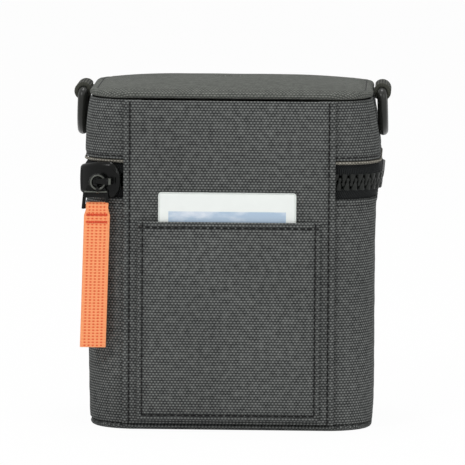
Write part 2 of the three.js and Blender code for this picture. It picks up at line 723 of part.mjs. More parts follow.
// One row of teeth on its cord, between two distances along the chain, with teeth from a third one
// on. side is 1 for the lid's row.
function toothRow(from, to, side, teethFrom) {
  const phase = side > 0 ? TOOTH_PITCH / 2 : 0;
  const rootZ = ZIP_HEIGHT + side * CHAIN_HEIGHT / 2;
  const cordZ = rootZ - side * CHAIN_CORD;
  const tipZ = ZIP_HEIGHT - side * TOOTH_HEAD;
  const faceOut = chainDepth - TOOTH_THICKNESS / 2;
  const faceIn = chainDepth + TOOTH_THICKNESS / 2;
  const first = Math.ceil((from - phase) / TOOTH_PITCH);
  const last = Math.floor((to - phase - TOOTH_LENGTH) / TOOTH_PITCH);
  const marks = [from];
  const toothed = [];
  for (let i = first; i <= last; i += 1) {
    const start = phase + i * TOOTH_PITCH;
    if (start - marks[marks.length - 1] > TOUCH) {
      marks.push(start);
      toothed.push(false);
    } else {
      marks[marks.length - 1] = start;
    }
    marks.push(start + TOOTH_LENGTH);
    toothed.push(start >= teethFrom);
  }
  if (to - marks[marks.length - 1] > TOUCH) {
    marks.push(to);
    toothed.push(false);
  }
  const positions = [];
  const triangles = [];
  const heights = [rootZ, cordZ, tipZ];
  marks.forEach((mark) => {
    const station = stationAt(mark);
    [faceOut, faceIn].forEach((depth) => {
      heights.forEach((z) => {
        const [x, y] = wallPoint(station, FLARE_AT_ZIP, depth);
        positions.push(x, y, z);
      });
    });
  });
  const quad = (a, b, c, d) => triangles.push(a, b, c, a, c, d);
  const corner = (mark, face, level) => mark * 6 + face * 3 + level;
  for (let i = 0; i + 1 < marks.length; i += 1) {
    const j = i + 1;
    const [out, inside] = [0, 1];
    quad(corner(i, out, 0), corner(j, out, 0), corner(j, out, 1), corner(i, out, 1));
    quad(corner(i, inside, 1), corner(j, inside, 1), corner(j, inside, 0), corner(i, inside, 0));
    quad(corner(i, inside, 0), corner(j, inside, 0), corner(j, out, 0), corner(i, out, 0));
    if (toothed[i]) {
      quad(corner(i, out, 1), corner(j, out, 1), corner(j, out, 2), corner(i, out, 2));
      quad(corner(i, inside, 2), corner(j, inside, 2), corner(j, inside, 1), corner(i, inside, 1));
      quad(corner(i, out, 2), corner(j, out, 2), corner(j, inside, 2), corner(i, inside, 2));
      quad(corner(i, out, 1), corner(i, out, 2), corner(i, inside, 2), corner(i, inside, 1));
      quad(corner(j, inside, 1), corner(j, inside, 2), corner(j, out, 2), corner(j, out, 1));
    } else {
      quad(corner(i, out, 1), corner(j, out, 1), corner(j, inside, 1), corner(i, inside, 1));
    }
  }
  const end = marks.length - 1;
  quad(corner(0, 0, 0), corner(0, 0, 1), corner(0, 1, 1), corner(0, 1, 0));
  quad(corner(end, 1, 0), corner(end, 1, 1), corner(end, 0, 1), corner(end, 0, 0));
  return pointingOut(mergeVertices(geometryFrom(positions, triangles), 1e-5));
}

// Angles along the left back corner, measured about the slider's centre from the middle of the back
const sliderCentreY = -CENTRE_Y;
const cavityOuter = CORNER_RADIUS - chainDepth + TOOTH_THICKNESS / 2 + CHAIN_CLEARANCE;
const cavityInner = CORNER_RADIUS - chainDepth - TOOTH_THICKNESS / 2 - CHAIN_CLEARANCE;
const sliderFace = cavityOuter + SLIDER_PLATE;
const sliderBack = cavityInner - SLIDER_PLATE;
const sliderNoseX = BACK_PANEL_WIDTH / 2 + SLIDER_END_GAP;
const noseAngle = Math.asin((sliderNoseX + sliderCentreX) / sliderFace);
const tailAngle = noseAngle + SLIDER_LENGTH / sliderFace;
const postFrom = noseAngle + SLIDER_NOSE / sliderFace;
const postTo = postFrom + POST_LENGTH / sliderFace;
const chainEndAngle = tailAngle + CHAIN_END_MARGIN / sliderFace;
const chainLengthTo = (angle) => chainStartFlat + (angle - chainStartAngle) * backReach;
const endLength = chainLengthTo(chainEndAngle);
const firstTooth = chainLengthTo(postTo) + CHAIN_CLEARANCE;

function buildZip() {
  const lowerLevels = wallLevels(tapeTuckBottom, ZIP_HEIGHT - CHAIN_HEIGHT / 2 - TOUCH, tapeOuter, tapeInner);
  const upperLevels = wallLevels(ZIP_HEIGHT + CHAIN_HEIGHT / 2 + TOUCH, tapeTuckTop, tapeOuter, tapeInner);
  const gap = TOUCH / CORNER_RADIUS;
  const split = MID_BACK + chainEndAngle;
  addPiece('zip_tape_lower', sweep(bandStations, lowerLevels), tapeFinish);
  addPiece('zip_tape_upper', sweep(
    [...stationsBetween(split + gap, MID_BACK + FULL_TURN - bandAngle), ...flatEnd(bandTuck, 1)],
    upperLevels,
  ), tapeFinish);
  addPiece('zip_tape_upper_left', sweep(
    [...flatEnd(bandTuck, -1), ...stationsBetween(MID_BACK + bandAngle, split)],
    upperLevels,
  ), tapeFinish);
  const rightStart = chainLength - endLength;
  [['lower', -1], ['upper', 1]].forEach(([row, side]) => {
    addPiece(`zip_teeth_${row}_left`, toothRow(0, endLength, side, firstTooth), toothFinish);
    addPiece(`zip_teeth_${row}`, toothRow(endLength + TOUCH, rightStart - TOUCH, side, 0), toothFinish);
    addPiece(`zip_teeth_${row}_right`, toothRow(rightStart, chainLength, side, 0), toothFinish);
  });
}

// A curved bar about the slider's centre, between two radii and two angles, with its half height
// given for each distance from the nose
function arcBar(inner, outer, from, to, halfHeight, middle = ZIP_HEIGHT) {
  const steps = Math.max(2, Math.ceil((to - from) / (4 * DEGREE)));
  const positions = [];
  const triangles = [];
  for (let i = 0; i <= steps; i += 1) {
    const angle = from + (to - from) * i / steps;
    const half = halfHeight((angle - noseAngle) * sliderFace);
    const direction = [-Math.sin(angle), -Math.cos(angle)];
    [[inner, -half], [inner, half], [outer, half], [outer, -half]].forEach(([reach, rise]) => {
      positions.push(
        sliderCentreX + direction[0] * reach,
        sliderCentreY + direction[1] * reach,
        middle + rise,
      );
    });
  }
  for (let i = 0; i < steps; i += 1) {
    for (let j = 0; j < 4; j += 1) {
      const k = (j + 1) % 4;
      const [here, next] = [i * 4, (i + 1) * 4];
      triangles.push(here + j, here + k, next + k, here + j, next + k, next + j);
    }
  }
  const end = steps * 4;
  triangles.push(0, 2, 1, 0, 3, 2, end, end + 1, end + 2, end, end + 2, end + 3);
  return solidOf(pointingOut(geometryFrom(positions, triangles)));
}

function plateHalfHeight(distance) {
  const tipShare = 0.12;
  const taperShare = 0.55;
  const full = SLIDER_HEIGHT / 2;
  if (distance < SLIDER_NOSE) {
    const share = 1 - Math.max(distance, 0) / SLIDER_NOSE;
    return full * Math.max(tipShare, Math.sqrt(1 - share * share));
  }
  const taper = (distance / SLIDER_LENGTH - taperShare) / (1 - taperShare);
  return full + (SLIDER_TAIL_HEIGHT / 2 - full) * Math.max(0, taper);
}

// Ring that joins the pull to the slider: its place, facing the back, with one side under the bridge
const ringRadius = (RING_OUTER - RING_WIRE) / 2;
const ringX = -(sliderNoseX + RING_SET_BACK);
const ringWireX = ringX + ringRadius;
const wireReach = sliderFace + RING_STANDOFF + RING_WIRE / 2;
const ringY = sliderCentreY - Math.sqrt(wireReach ** 2 - (ringWireX - sliderCentreX) ** 2);
const ringZ = ZIP_HEIGHT - RING_DROP;
const bridgeInner = wireReach + RING_WIRE / 2 + RING_CLEARANCE;
const bridgeOuter = bridgeInner + BRIDGE_BAR;

function buildSlider() {
  const cavityHalf = CHAIN_HEIGHT / 2 + CHAIN_CLEARANCE;
  const flangeHalf = (SLIDER_INNER_HEIGHT / 2 - cavityHalf) / 2;
  const flangeMiddle = cavityHalf + flangeHalf;
  const slotOuter = cavityOuter - SLOT_INSET;
  const slotInner = slotOuter - SLOT_DEPTH;
  const flangeFrom = noseAngle + SLIDER_NOSE / sliderFace;
  const bond = TOUCH;
  let slider = arcBar(cavityOuter, sliderFace, noseAngle, tailAngle, plateHalfHeight);
  slider = slider.add(arcBar(sliderBack, cavityInner, flangeFrom, tailAngle, () => SLIDER_INNER_HEIGHT / 2));
  [-1, 1].forEach((side) => {
    const middle = ZIP_HEIGHT + side * flangeMiddle;
    slider = slider.add(arcBar(slotOuter, cavityOuter + bond, flangeFrom, tailAngle, () => flangeHalf, middle));
    slider = slider.add(arcBar(cavityInner - bond, slotInner, flangeFrom, tailAngle, () => flangeHalf, middle));
  });
  slider = slider.add(arcBar(sliderBack + bond, sliderFace - bond, postFrom, postTo, () => POST_HEIGHT / 2));
  const rootFrom = noseAngle + BRIDGE_ROOT / sliderFace;
  const rootTo = rootFrom + BRIDGE_LEG / sliderFace;
  const toeTo = rootFrom + BRIDGE_LENGTH / sliderFace;
  const toeFrom = toeTo - BRIDGE_LEG / sliderFace;
  const barHalf = () => BRIDGE_HEIGHT / 2;
  slider = slider.add(arcBar(bridgeInner, bridgeOuter, rootFrom, toeTo, barHalf));
  slider = slider.add(arcBar(sliderFace - bond, bridgeOuter, rootFrom, rootTo, barHalf));
  slider = slider.add(arcBar(sliderFace - bond, bridgeOuter, toeFrom, toeTo, barHalf));
  addPiece('slider_body', geometryOf(slider), enamelFinish);
}

// A round wire bent along a closed flat path. The path is a list of [u, v, outward u, outward v].
function wireLoop(path, radius, toSpace) {
  const positions = [];
  const triangles = [];
  path.forEach(([u, v, outU, outV]) => {
    for (let j = 0; j < WIRE_STEPS; j += 1) {
      const turn = (j + 0.5) / WIRE_STEPS * FULL_TURN;
      const reach = Math.cos(turn) * radius;
      positions.push(...toSpace(u + outU * reach, v + outV * reach, Math.sin(turn) * radius));
    }
  });
  const count = path.length;
  for (let i = 0; i < count; i += 1) {
    for (let j = 0; j < WIRE_STEPS; j += 1) {
      const k = (j + 1) % WIRE_STEPS;
      const [here, next] = [i * WIRE_STEPS, ((i + 1) % count) * WIRE_STEPS];
      triangles.push(here + j, here + k, next + k, here + j, next + k, next + j);
    }
  }
  return pointingOut(geometryFrom(positions, triangles));
}

function arcPath(cu, cv, radius, from, to, steps) {
  const path = [];
  for (let i = 0; i <= steps; i += 1) {
    const angle = from + (to - from) * i / steps;
    path.push([cu + Math.cos(angle) * radius, cv + Math.sin(angle) * radius, Math.cos(angle), Math.sin(angle)]);
  }
  return path;
}

function buildPullRing() {
  const path = arcPath(0, 0, ringRadius, 0, FULL_TURN, RING_STEPS).slice(0, -1);
  const toSpace = (u, v, w) => [ringX + u, ringY + w, ringZ + v];
  addPiece('pull_ring', wireLoop(path, RING_WIRE / 2, toSpace), enamelFinish);
}

// Pull frame: a flat plate behind the ring with an eye round the ring's lowest wire, and a slot
// whose lower bar carries the strap
const eyeZ = ringZ - ringRadius;
const framePlateFront = ringY + RING_WIRE / 2 + EYE_CLEARANCE;
const framePlateBack = framePlateFront + FRAME_PLATE;
const frameX = ringX - FRAME_SHIFT;
const frameFootZ = eyeZ - FRAME_FOOT_DROP;
const barZ = frameFootZ + FRAME_BAR / 2;
const barY = (framePlateFront + framePlateBack) / 2;

function buildPullFrame() {
  const eyeHalf = RING_WIRE / 2 + EYE_CLEARANCE;
  const eyeTop = eyeZ + eyeHalf + EYE_SAG + EYE_WALL;
  const shape = new THREE.Shape();
  const outline = [
    [FRAME_TOP_WIDTH / 2, eyeTop],
    [FRAME_SHOULDER_WIDTH / 2, eyeZ - FRAME_SHOULDER_DROP],
    [FRAME_FOOT_WIDTH / 2, eyeZ - FRAME_SLOT_DROP],
    [FRAME_FOOT_WIDTH / 2, frameFootZ],
  ];
  shape.moveTo(outline[0][0], outline[0][1]);
  outline.slice(1).forEach(([x, z]) => shape.lineTo(x, z));
  [...outline].reverse().forEach(([x, z]) => shape.lineTo(-x, z));
  const slot = new THREE.Path();
  const slotHalf = FRAME_FOOT_WIDTH / 2 - FRAME_LEG;
  const slotBottom = frameFootZ + FRAME_BAR;
  const slotTop = eyeZ - FRAME_SLOT_DROP;
  slot.moveTo(-slotHalf, slotBottom);
  slot.lineTo(slotHalf, slotBottom);
  slot.lineTo(slotHalf, slotTop);
  slot.lineTo(-slotHalf, slotTop);
  shape.holes.push(slot);
  const plate = new THREE.ExtrudeGeometry(shape, { depth: FRAME_PLATE, bevelEnabled: false });
  plate.rotateX(Math.PI / 2);
  plate.translate(frameX, framePlateBack, 0);
  const eyeHalfWidth = EYE_WIDTH / 2;
  const block = solidOf(boxBetween(
    [ringX - eyeHalfWidth, ringY - eyeHalf - EYE_WALL, eyeZ - eyeHalf - EYE_WALL],
    [ringX + eyeHalfWidth, framePlateBack, eyeTop],
  ));
  const bore = solidOf(boxBetween(
    [ringX - OVERRUN, ringY - eyeHalf, eyeZ - eyeHalf],
    [ringX + OVERRUN, ringY + eyeHalf, eyeZ + eyeHalf + EYE_SAG],
  ));
  addPiece('pull_frame', geometryOf(solidOf(plate).add(block).subtract(bore)), enamelFinish);
}

// Strap: a loop of webbing round the frame's bar, its two layers sewn together below
function buildPullStrap() {
  const holeHalfY = Math.hypot(FRAME_PLATE, FRAME_BAR) / 2 + STRAP_CLEARANCE;
  const holeHalfZ = holeHalfY;
  const profile = new THREE.Shape();
  const outerY = holeHalfY + STRAP_LAYER;
  const top = holeHalfZ + STRAP_LAYER;
  const bottom = top - STRAP_LENGTH;
  profile.moveTo(-STRAP_LAYER, bottom);
  profile.lineTo(STRAP_LAYER, bottom);
  profile.lineTo(STRAP_LAYER, -holeHalfZ - STRAP_LOOP_LENGTH);
  profile.lineTo(outerY, -holeHalfZ);
  profile.lineTo(outerY, holeHalfZ);
  profile.lineTo(FRAME_PLATE / 2, top);
  profile.lineTo(-FRAME_PLATE / 2, top);
  profile.lineTo(-outerY, holeHalfZ);
  profile.lineTo(-outerY, -holeHalfZ);
  profile.lineTo(-STRAP_LAYER, -holeHalfZ - STRAP_LOOP_LENGTH);
  const band = new THREE.ExtrudeGeometry(profile, { depth: STRAP_WIDTH, bevelEnabled: false });
  band.translate(0, 0, -STRAP_WIDTH / 2);
  band.rotateY(Math.PI / 2);
  band.rotateX(Math.PI / 2);
  const face = new THREE.Shape();
  const pinch = STRAP_PINCH_WIDTH / 2;
  const half = STRAP_WIDTH / 2;
  const pinchEnd = -FRAME_BAR / 2 - STRAP_CLEARANCE;
  const flareEnd = pinchEnd - (half - pinch);
  face.moveTo(-pinch, top + OVERRUN);
  face.lineTo(-pinch, pinchEnd);
  face.lineTo(-half, flareEnd);
  face.lineTo(-half, bottom - OVERRUN);
  face.lineTo(half, bottom - OVERRUN);
  face.lineTo(half, flareEnd);
  face.lineTo(pinch, pinchEnd);
  face.lineTo(pinch, top + OVERRUN);
  const window = new THREE.ExtrudeGeometry(face, { depth: OVERRUN * 2, bevelEnabled: false });
  window.rotateX(Math.PI / 2);
  window.translate(0, OVERRUN, 0);
  const hole = solidOf(boxBetween(
    [-STRAP_WIDTH, -holeHalfY, -holeHalfZ],
    [STRAP_WIDTH, holeHalfY, holeHalfZ],
  ));
  const strap = addPiece(
    'pull_strap',
    geometryOf(solidOf(band).intersect(solidOf(window)).subtract(hole)),
    orangeWebbingFinish,
  );
  strap.position.set(frameX, barY, barZ);
  strap.rotation.y = STRAP_TILT;
}

// D-rings in their webbing loops, sewn in the seam of the top at the middle of each side
function buildStrapRings() {
  const halfWidth = (D_INNER_WIDTH + D_WIRE) / 2;
  const drop = D_HEIGHT - D_WIRE;
  const bend = D_WIRE / 2 + LOOP_CLEARANCE;
  const path = [
    ...arcPath(halfWidth - bend, -bend, bend, 0, Math.PI / 2, 4),
    ...arcPath(-halfWidth + bend, -bend, bend, Math.PI / 2, Math.PI, 4),
    ...arcPath(0, halfWidth - drop, halfWidth, Math.PI, Math.PI * 2, 16),
  ];
  const barX = CASE_WIDTH / 2 + D_BAR_OUT;
  const loopOuter = D_WIRE / 2 + LOOP_CLEARANCE + LOOP_WEBBING;
  const lidBlock = solidOf(stack(loopStations, [
    [TOP_SEAM - OVERRUN * 2, -LOOP_CLEARANCE],
    [edgeLevels[0][0], -LOOP_CLEARANCE],
    [edgeLevels[1][0] + LOOP_CLEARANCE, edgeLevels[1][1] - LOOP_CLEARANCE],
    [edgeLevels[2][0] + LOOP_CLEARANCE, edgeLevels[2][1]],
  ], TOP_SEAM - OVERRUN * 2, TOP_SEAM + TOP_EDGE_RISE + LOOP_CLEARANCE));
  [['left', -1], ['right', 1]].forEach(([name, side]) => {
    const toSpace = (u, v, w) => [
      side * (barX + w * Math.cos(D_TILT) - v * Math.sin(D_TILT)),
      u,
      D_BAR_HEIGHT + v * Math.cos(D_TILT) + w * Math.sin(D_TILT),
    ];
    addPiece(`d_ring_${name}`, wireLoop(path, D_WIRE / 2, toSpace), enamelFinish);
    const shape = new THREE.Shape();
    shape.absarc(0, 0, loopOuter, 0, FULL_TURN, false);
    const hole = new THREE.Path();
    hole.absarc(0, 0, D_WIRE / 2 + LOOP_CLEARANCE, 0, FULL_TURN, true);
    shape.holes.push(hole);
    const loop = new THREE.ExtrudeGeometry(shape, {
      depth: LOOP_WIDTH,
      bevelEnabled: false,
      curveSegments: 10,
    });
    loop.rotateX(Math.PI / 2);
    loop.translate(side * barX, LOOP_WIDTH / 2, D_BAR_HEIGHT);
    addPiece(`strap_loop_${name}`, geometryOf(solidOf(loop).subtract(lidBlock)), blackWebbingFinish);
  });
}

buildBase();
buildBodyWalls();
buildLidWalls();
buildTop();
buildBackPanel();
buildPocket();
buildPrint();
buildZip();
buildSlider();
buildPullRing();
buildPullFrame();
buildPullStrap();
buildStrapRings();

export default group;
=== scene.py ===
"""Looks of the upright camera case: canvas walls over foam, zip, webbing pull, D-rings, pocket and print."""

import json
import logging
import math
from dataclasses import dataclass
from enum import Enum
from typing import Callable, Protocol, Sequence

import bpy
import numpy as np
from mathutils import Matrix, Vector

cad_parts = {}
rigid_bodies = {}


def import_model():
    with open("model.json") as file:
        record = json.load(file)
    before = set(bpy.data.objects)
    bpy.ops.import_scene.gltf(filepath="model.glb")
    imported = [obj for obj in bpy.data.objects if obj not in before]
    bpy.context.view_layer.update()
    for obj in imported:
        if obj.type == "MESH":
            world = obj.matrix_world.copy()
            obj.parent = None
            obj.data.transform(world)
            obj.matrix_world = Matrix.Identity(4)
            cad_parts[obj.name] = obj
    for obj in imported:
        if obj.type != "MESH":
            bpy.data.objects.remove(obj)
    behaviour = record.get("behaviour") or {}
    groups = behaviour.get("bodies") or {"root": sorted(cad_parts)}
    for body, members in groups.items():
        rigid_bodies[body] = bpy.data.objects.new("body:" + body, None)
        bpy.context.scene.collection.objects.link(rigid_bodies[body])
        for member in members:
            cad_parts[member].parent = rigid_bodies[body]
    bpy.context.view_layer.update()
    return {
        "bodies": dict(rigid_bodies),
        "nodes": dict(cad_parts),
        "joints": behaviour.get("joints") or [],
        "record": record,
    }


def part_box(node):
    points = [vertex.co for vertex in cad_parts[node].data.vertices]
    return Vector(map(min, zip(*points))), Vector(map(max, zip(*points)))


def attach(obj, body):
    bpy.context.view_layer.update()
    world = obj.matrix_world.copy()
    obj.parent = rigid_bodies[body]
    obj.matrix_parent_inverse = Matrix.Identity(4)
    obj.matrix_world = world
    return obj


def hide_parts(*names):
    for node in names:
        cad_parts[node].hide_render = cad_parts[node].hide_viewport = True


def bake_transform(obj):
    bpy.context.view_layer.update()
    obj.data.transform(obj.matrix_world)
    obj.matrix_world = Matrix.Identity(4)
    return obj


LOG = logging.getLogger("camera_case")
MM = 0.001
WHITE = (1, 1, 1, 1)
Piece = bpy.types.Object
Material = bpy.types.Material
Socket = bpy.types.NodeSocket
Point = tuple[float, float, float]
Colour = tuple[float, float, float]
Ring = tuple[float, float, float]
Place = Callable[[float, float], Point]
Level = Callable[[float], float]
Inset = Callable[[float, float], float]


class Side(Enum):
    """Which side of the case, as someone facing the back panel sees it."""

    LEFT = -1
    RIGHT = 1


class Body(Enum):
    """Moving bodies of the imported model."""

    CASE = "case"
    LID = "lid"
    SLIDER = "slider"
    RING = "ring"
    FRAME = "frame"
    STRAP = "strap"
    LEFT_RING = "left_ring"
    RIGHT_RING = "right_ring"
    PRINT = "print"


def from_srgb(red: float, green: float, blue: float) -> Colour:
    """Turn a colour written as 0 to 255 into linear shares.

    Args:
        red: Red, 0 to 255.
        green: Green, 0 to 255.
        blue: Blue, 0 to 255.

    Returns:
        The linear colour.
    """
    shares = [value / 255 for value in (red, green, blue)]
    linear = [s / 12.92 if s <= 0.04045 else ((s + 0.055) / 1.055) ** 2.4 for s in shares]
    return (linear[0], linear[1], linear[2])


@dataclass(frozen=True)
class Outline:
    """Plan and flare of the case wall, in metres."""

    width: float = 116 * MM
    depth: float = 78 * MM
    corner: float = 18 * MM
    body_top: float = 91.5 * MM
    zip_height: float = 98.4 * MM
    top_seam: float = 130.7 * MM
    flares: tuple[tuple[float, float], ...] = (
        (0, -2.3), (2.2, -2.3), (40, -2.1), (70, -1.9), (85, -1.4), (91.5, -0.6), (93.5, 0.1), (95.6, 0.7),
        (98.4, 1.3), (101.2, 1.6), (103.5, 1.4), (105.1, 0.3), (107, 0.0), (112, -0.3), (120, -1.1),
        (130.7, -2.5),
    )
    leans: tuple[tuple[float, float], ...] = (
        (0, 0.7), (30, 0.4), (70, 0.1), (88, 0), (95, 0.8), (104, 0.9), (112, 0.5), (125, 0),
    )

    @property
    def centre_x(self) -> float:
        """Sideways distance from the middle to a corner's centre."""
        return self.width / 2 - self.corner

    @property
    def centre_y(self) -> float:
        """Distance from the middle to a corner's centre, front to back."""
        return self.depth / 2 - self.corner

    @property
    def length(self) -> float:
        """Distance once round the outline."""
        return 4 * (self.centre_x + self.centre_y) + math.tau * self.corner

    def flare(self, z: float) -> float:
        """Flare of the wall at a height, straight between the table's heights."""
        heights = [row[0] * MM for row in self.flares]
        return float(np.interp(z, heights, [row[1] * MM for row in self.flares]))

    def wall(self, along: float, z: float, inset: float, flare: float | None = None) -> Point:
        """Find a point of the wall.

        Args:
            along: Distance round the outline from the middle of the back, toward the left side first.
            z: Height.
            inset: Depth inward from the outer surface.
            flare: Flare to use, looked up from the height when left out.

        Returns:
            The point.
        """
        spread = self.flare(z) if flare is None else flare
        quarter = self.corner * math.pi / 2
        stretches = (self.centre_x, quarter, 2 * self.centre_y, quarter, 2 * self.centre_x, quarter,
                     2 * self.centre_y, quarter, self.centre_x)
        left = along % self.length
        index = 0
        while index < len(stretches) - 1 and left > stretches[index]:
            left -= stretches[index]
            index += 1
        cx, cy, turn = self._station(index, left)
        nx, ny = -math.sin(turn), -math.cos(turn)
        heights, shifts = zip(*self.leans)
        lean = float(np.interp(z / MM, heights, shifts)) * MM
        if ny < -1e-9:
            reach = self.corner - inset
            return (lean + cx * (1 + spread / self.centre_x) + nx * reach, cy + ny * reach, z)
        reach = self.corner + spread - inset
        return (lean + cx + nx * reach, cy + ny * reach, z)

    def _station(self, index: int, left: float) -> Point:
        """Find the outline's centre and turn, part of the way along one of its nine stretches.

        Args:
            index: Which stretch, from the middle of the back toward the left side.
            left: Distance along it.

        Returns:
            The centre's x and y, and the turn in radians.
        """
        cx, cy = self.centre_x, self.centre_y
        turn = left / self.corner
        return (
            (-left, -cy, 0.0),
            (-cx, -cy, turn),
            (-cx, -cy + left, math.pi / 2),
            (-cx, cy, math.pi / 2 + turn),
            (-cx + left, cy, math.pi),
            (cx, cy, math.pi + turn),
            (cx, cy - left, math.pi * 1.5),
            (cx, -cy, math.pi * 1.5 + turn),
            (cx - left, -cy, math.tau),
        )[index]

    def along_back(self, x: float) -> float:
        """Measure along the outline to a place on the back.

        Args:
            x: How far left of the middle the place is.

        Returns:
            The distance along the outline.
        """
        if abs(x) <= self.centre_x:
            return x
        extra = math.asin((abs(x) - self.centre_x) / self.corner) * self.corner
        return math.copysign(self.centre_x + extra, x)


OUTLINE = Outline()
PANEL_SEAM = 83.7 / 2 * MM


# Workshop


def deselect() -> None:
    """Leave nothing selected."""
    bpy.ops.object.select_all(action="DESELECT")


def take(piece: Piece) -> None:
    """Make a piece the only selected and the active one.

    Args:
        piece: The piece.
    """
    deselect()
    piece.select_set(True)
    bpy.context.view_layer.objects.active = piece


def settle(piece: Piece) -> None:
    """Put a piece's place, turn and scale into its mesh."""
    take(piece)
    bpy.ops.object.transform_apply(location=True, rotation=True, scale=True)


def finish_with(piece: Piece, kind: str, **settings: object) -> None:
    """Add a modifier and apply it.

    Args:
        piece: The piece.
        kind: Blender's name of the modifier.
        settings: Values of the modifier.
    """
    take(piece)
    modifier = piece.modifiers.new(kind.title(), kind)
    for name, value in settings.items():
        setattr(modifier, name, value)
    bpy.ops.object.modifier_apply(modifier=modifier.name)


def soften(piece: Piece, degrees: float) -> None:
    """Shade a piece smooth, save for edges sharper than an angle."""
    take(piece)
    bpy.ops.object.shade_smooth_by_angle(angle=math.radians(degrees))


def edit_mesh(piece: Piece, *steps: Callable[[], object]) -> None:
    """Run mesh operators on a whole piece, in edit mode.

    Args:
        piece: The piece.
        steps: The operators, in order.
    """
    take(piece)
    bpy.ops.object.mode_set(mode="EDIT")
    bpy.ops.mesh.select_all(action="SELECT")
    for step in steps:
        step()
    bpy.ops.object.mode_set(mode="OBJECT")


def face_outward() -> None:
    """Turn the selected faces outward."""
    bpy.ops.mesh.normals_make_consistent(inside=False)


def close_holes() -> None:
    """Fill every hole of the selected mesh."""
    bpy.ops.mesh.fill_holes(sides=0)


def merge(piece: Piece, distance: float = 0.01 * MM) -> None:
    """Join points that lie together, and turn the faces outward."""
    edit_mesh(piece, lambda: bpy.ops.mesh.remove_doubles(threshold=distance), face_outward)


def points_of(piece: Piece) -> np.ndarray:
    """Read the places of a mesh's points.

    Args:
        piece: The piece.

    Returns:
        The places, one row each.
    """
    places = np.empty(len(piece.data.vertices) * 3)
    piece.data.vertices.foreach_get("co", places)
    return places.reshape(-1, 3)


def move_points(piece: Piece, places: np.ndarray) -> None:
    """Give a mesh's points new places."""
    piece.data.vertices.foreach_set("co", np.asarray(places, float).ravel())
    piece.data.update()


def lay_grid(name: str, columns: int, rows: int, place: Place, surface: Place | None = None) -> Piece:
    """Lay a grid primitive over a surface, and map it in metres.

    Args:
        name: The piece's name.
        columns: Faces across.
        rows: Faces up.
        place: Gives the point for a share across and a share up.
        surface: Gives the metres across and up on the cloth, with a third number that is left out.

    Returns:
        The piece.
    """
    deselect()
    bpy.ops.mesh.primitive_grid_add(x_subdivisions=columns, y_subdivisions=rows, size=2)
    piece = bpy.context.active_object
    piece.name = name
    piece.data.name = name
    shares = (points_of(piece)[:, :2] + 1) / 2
    if surface:
        flat = np.array([surface(u, v)[:2] for u, v in shares])
        corners = np.empty(len(piece.data.loops), int)
        piece.data.loops.foreach_get("vertex_index", corners)
        piece.data.uv_layers[0].data.foreach_set("uv", flat[corners].ravel())
    move_points(piece, np.array([place(u, v) for u, v in shares]))
    return piece


def lay_round(name: str, columns: int, rows: int, start: float, level: Level, inset: Inset,
              cloth_from: float = 0.0) -> Piece:
    """Lay cloth on the wall, round both sides and the front.

    Args:
        name: The piece's name.
        columns: Faces along the wall.
        rows: Faces up.
        start: Distance along the wall from the middle of the back to where the cloth begins.
        level: Gives the height for a share up.
        inset: Gives the depth inward for a distance along the wall and a height.
        cloth_from: Height where the cloth's pattern begins.

    Returns:
        The piece.
    """
    end = OUTLINE.length - start

    def place(u: float, v: float) -> Point:
        """Point of the cloth for a share along and a share up."""
        along, z = end + (start - end) * u, level(v)
        return OUTLINE.wall(along, z, inset(along, z))

    def surface(u: float, v: float) -> Point:
        """Metres along and up on the cloth."""
        return (-(end + (start - end) * u), level(v) - cloth_from, 0)

    return lay_grid(name, columns, rows, place, surface)


def thicken(piece: Piece, thickness: float, offset: float = -1) -> None:
    """Give a sheet its thickness, inward from its face unless told otherwise."""
    finish_with(piece, "SOLIDIFY", thickness=thickness, offset=offset, use_even_offset=False)


def combine(name: str, pieces: Sequence[Piece]) -> Piece:
    """Join several meshes into one piece.

    Args:
        name: The piece's name.
        pieces: The meshes, at least one.

    Returns:
        The joined piece.
    """
    deselect()
    for piece in pieces:
        piece.select_set(True)
    bpy.context.view_layer.objects.active = pieces[0]
    if len(pieces) > 1:
        bpy.ops.object.join()
    joined = pieces[0]
    joined.name = name
    joined.data.name = name
    return joined


def copies_at(name: str, model: Piece, frames: Sequence[Matrix]) -> Piece:
    """Repeat a small modelled shape, each copy with its own mesh, and join the copies.

    Args:
        name: The joined piece's name.
        model: The shape, modelled at the origin. It is used up.
        frames: Where each copy goes.

    Returns:
        The joined piece.
    """
    made = []
    for frame in frames:
        copy = bpy.data.objects.new(name, model.data.copy())
        bpy.context.scene.collection.objects.link(copy)
        copy.data.transform(frame)
        made.append(copy)
    bpy.data.objects.remove(model)
    return combine(name, made)


def dress(piece: Piece, finish: Material, body: Body | None, *replaced: str, slot: str) -> None:
    """Finish a piece: its material, the body it rides on and the nodes it stands for.

    Args:
        piece: The piece.
        finish: Its material.
        body: The body it rides on, or None for a piece between two bodies, which is left unattached.
        replaced: The CAD nodes it stands for.
        slot: The record's material slot, not used.
    """
    if not piece.data.materials:
        piece.data.materials.append(finish)
    if body:
        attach(piece, body.value)
    if replaced:
        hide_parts(*replaced)
    LOG.info("%s: %d faces", piece.name, len(piece.data.polygons))


def paint_highlight(piece: Piece, finish: Material, wear_and_highlight: Callable[[Vector, Vector], bool]) -> None:
    """Give chosen faces of a dressed piece a lighter finish, a painted highlight.

    Args:
        piece: The piece, with its main finish in the first slot.
        finish: The lighter finish that paints the highlight.
        wear_and_highlight: Says from a face's middle and its normal whether it gets the painted highlight.
    """
    piece.data.materials.append(finish)
    for face in piece.data.polygons:
        if wear_and_highlight(face.center, face.normal):
            face.material_index = 1


def new_shape(name: str, add: Callable[..., object], **settings: object) -> Piece:
    """Add one of Blender's primitives.

    Args:
        name: The piece's name.
        add: The operator that adds it.
        settings: The operator's values.

    Returns:
        The piece.
    """
    deselect()
    add(**settings)
    piece = bpy.context.active_object
    piece.name = name
    return piece


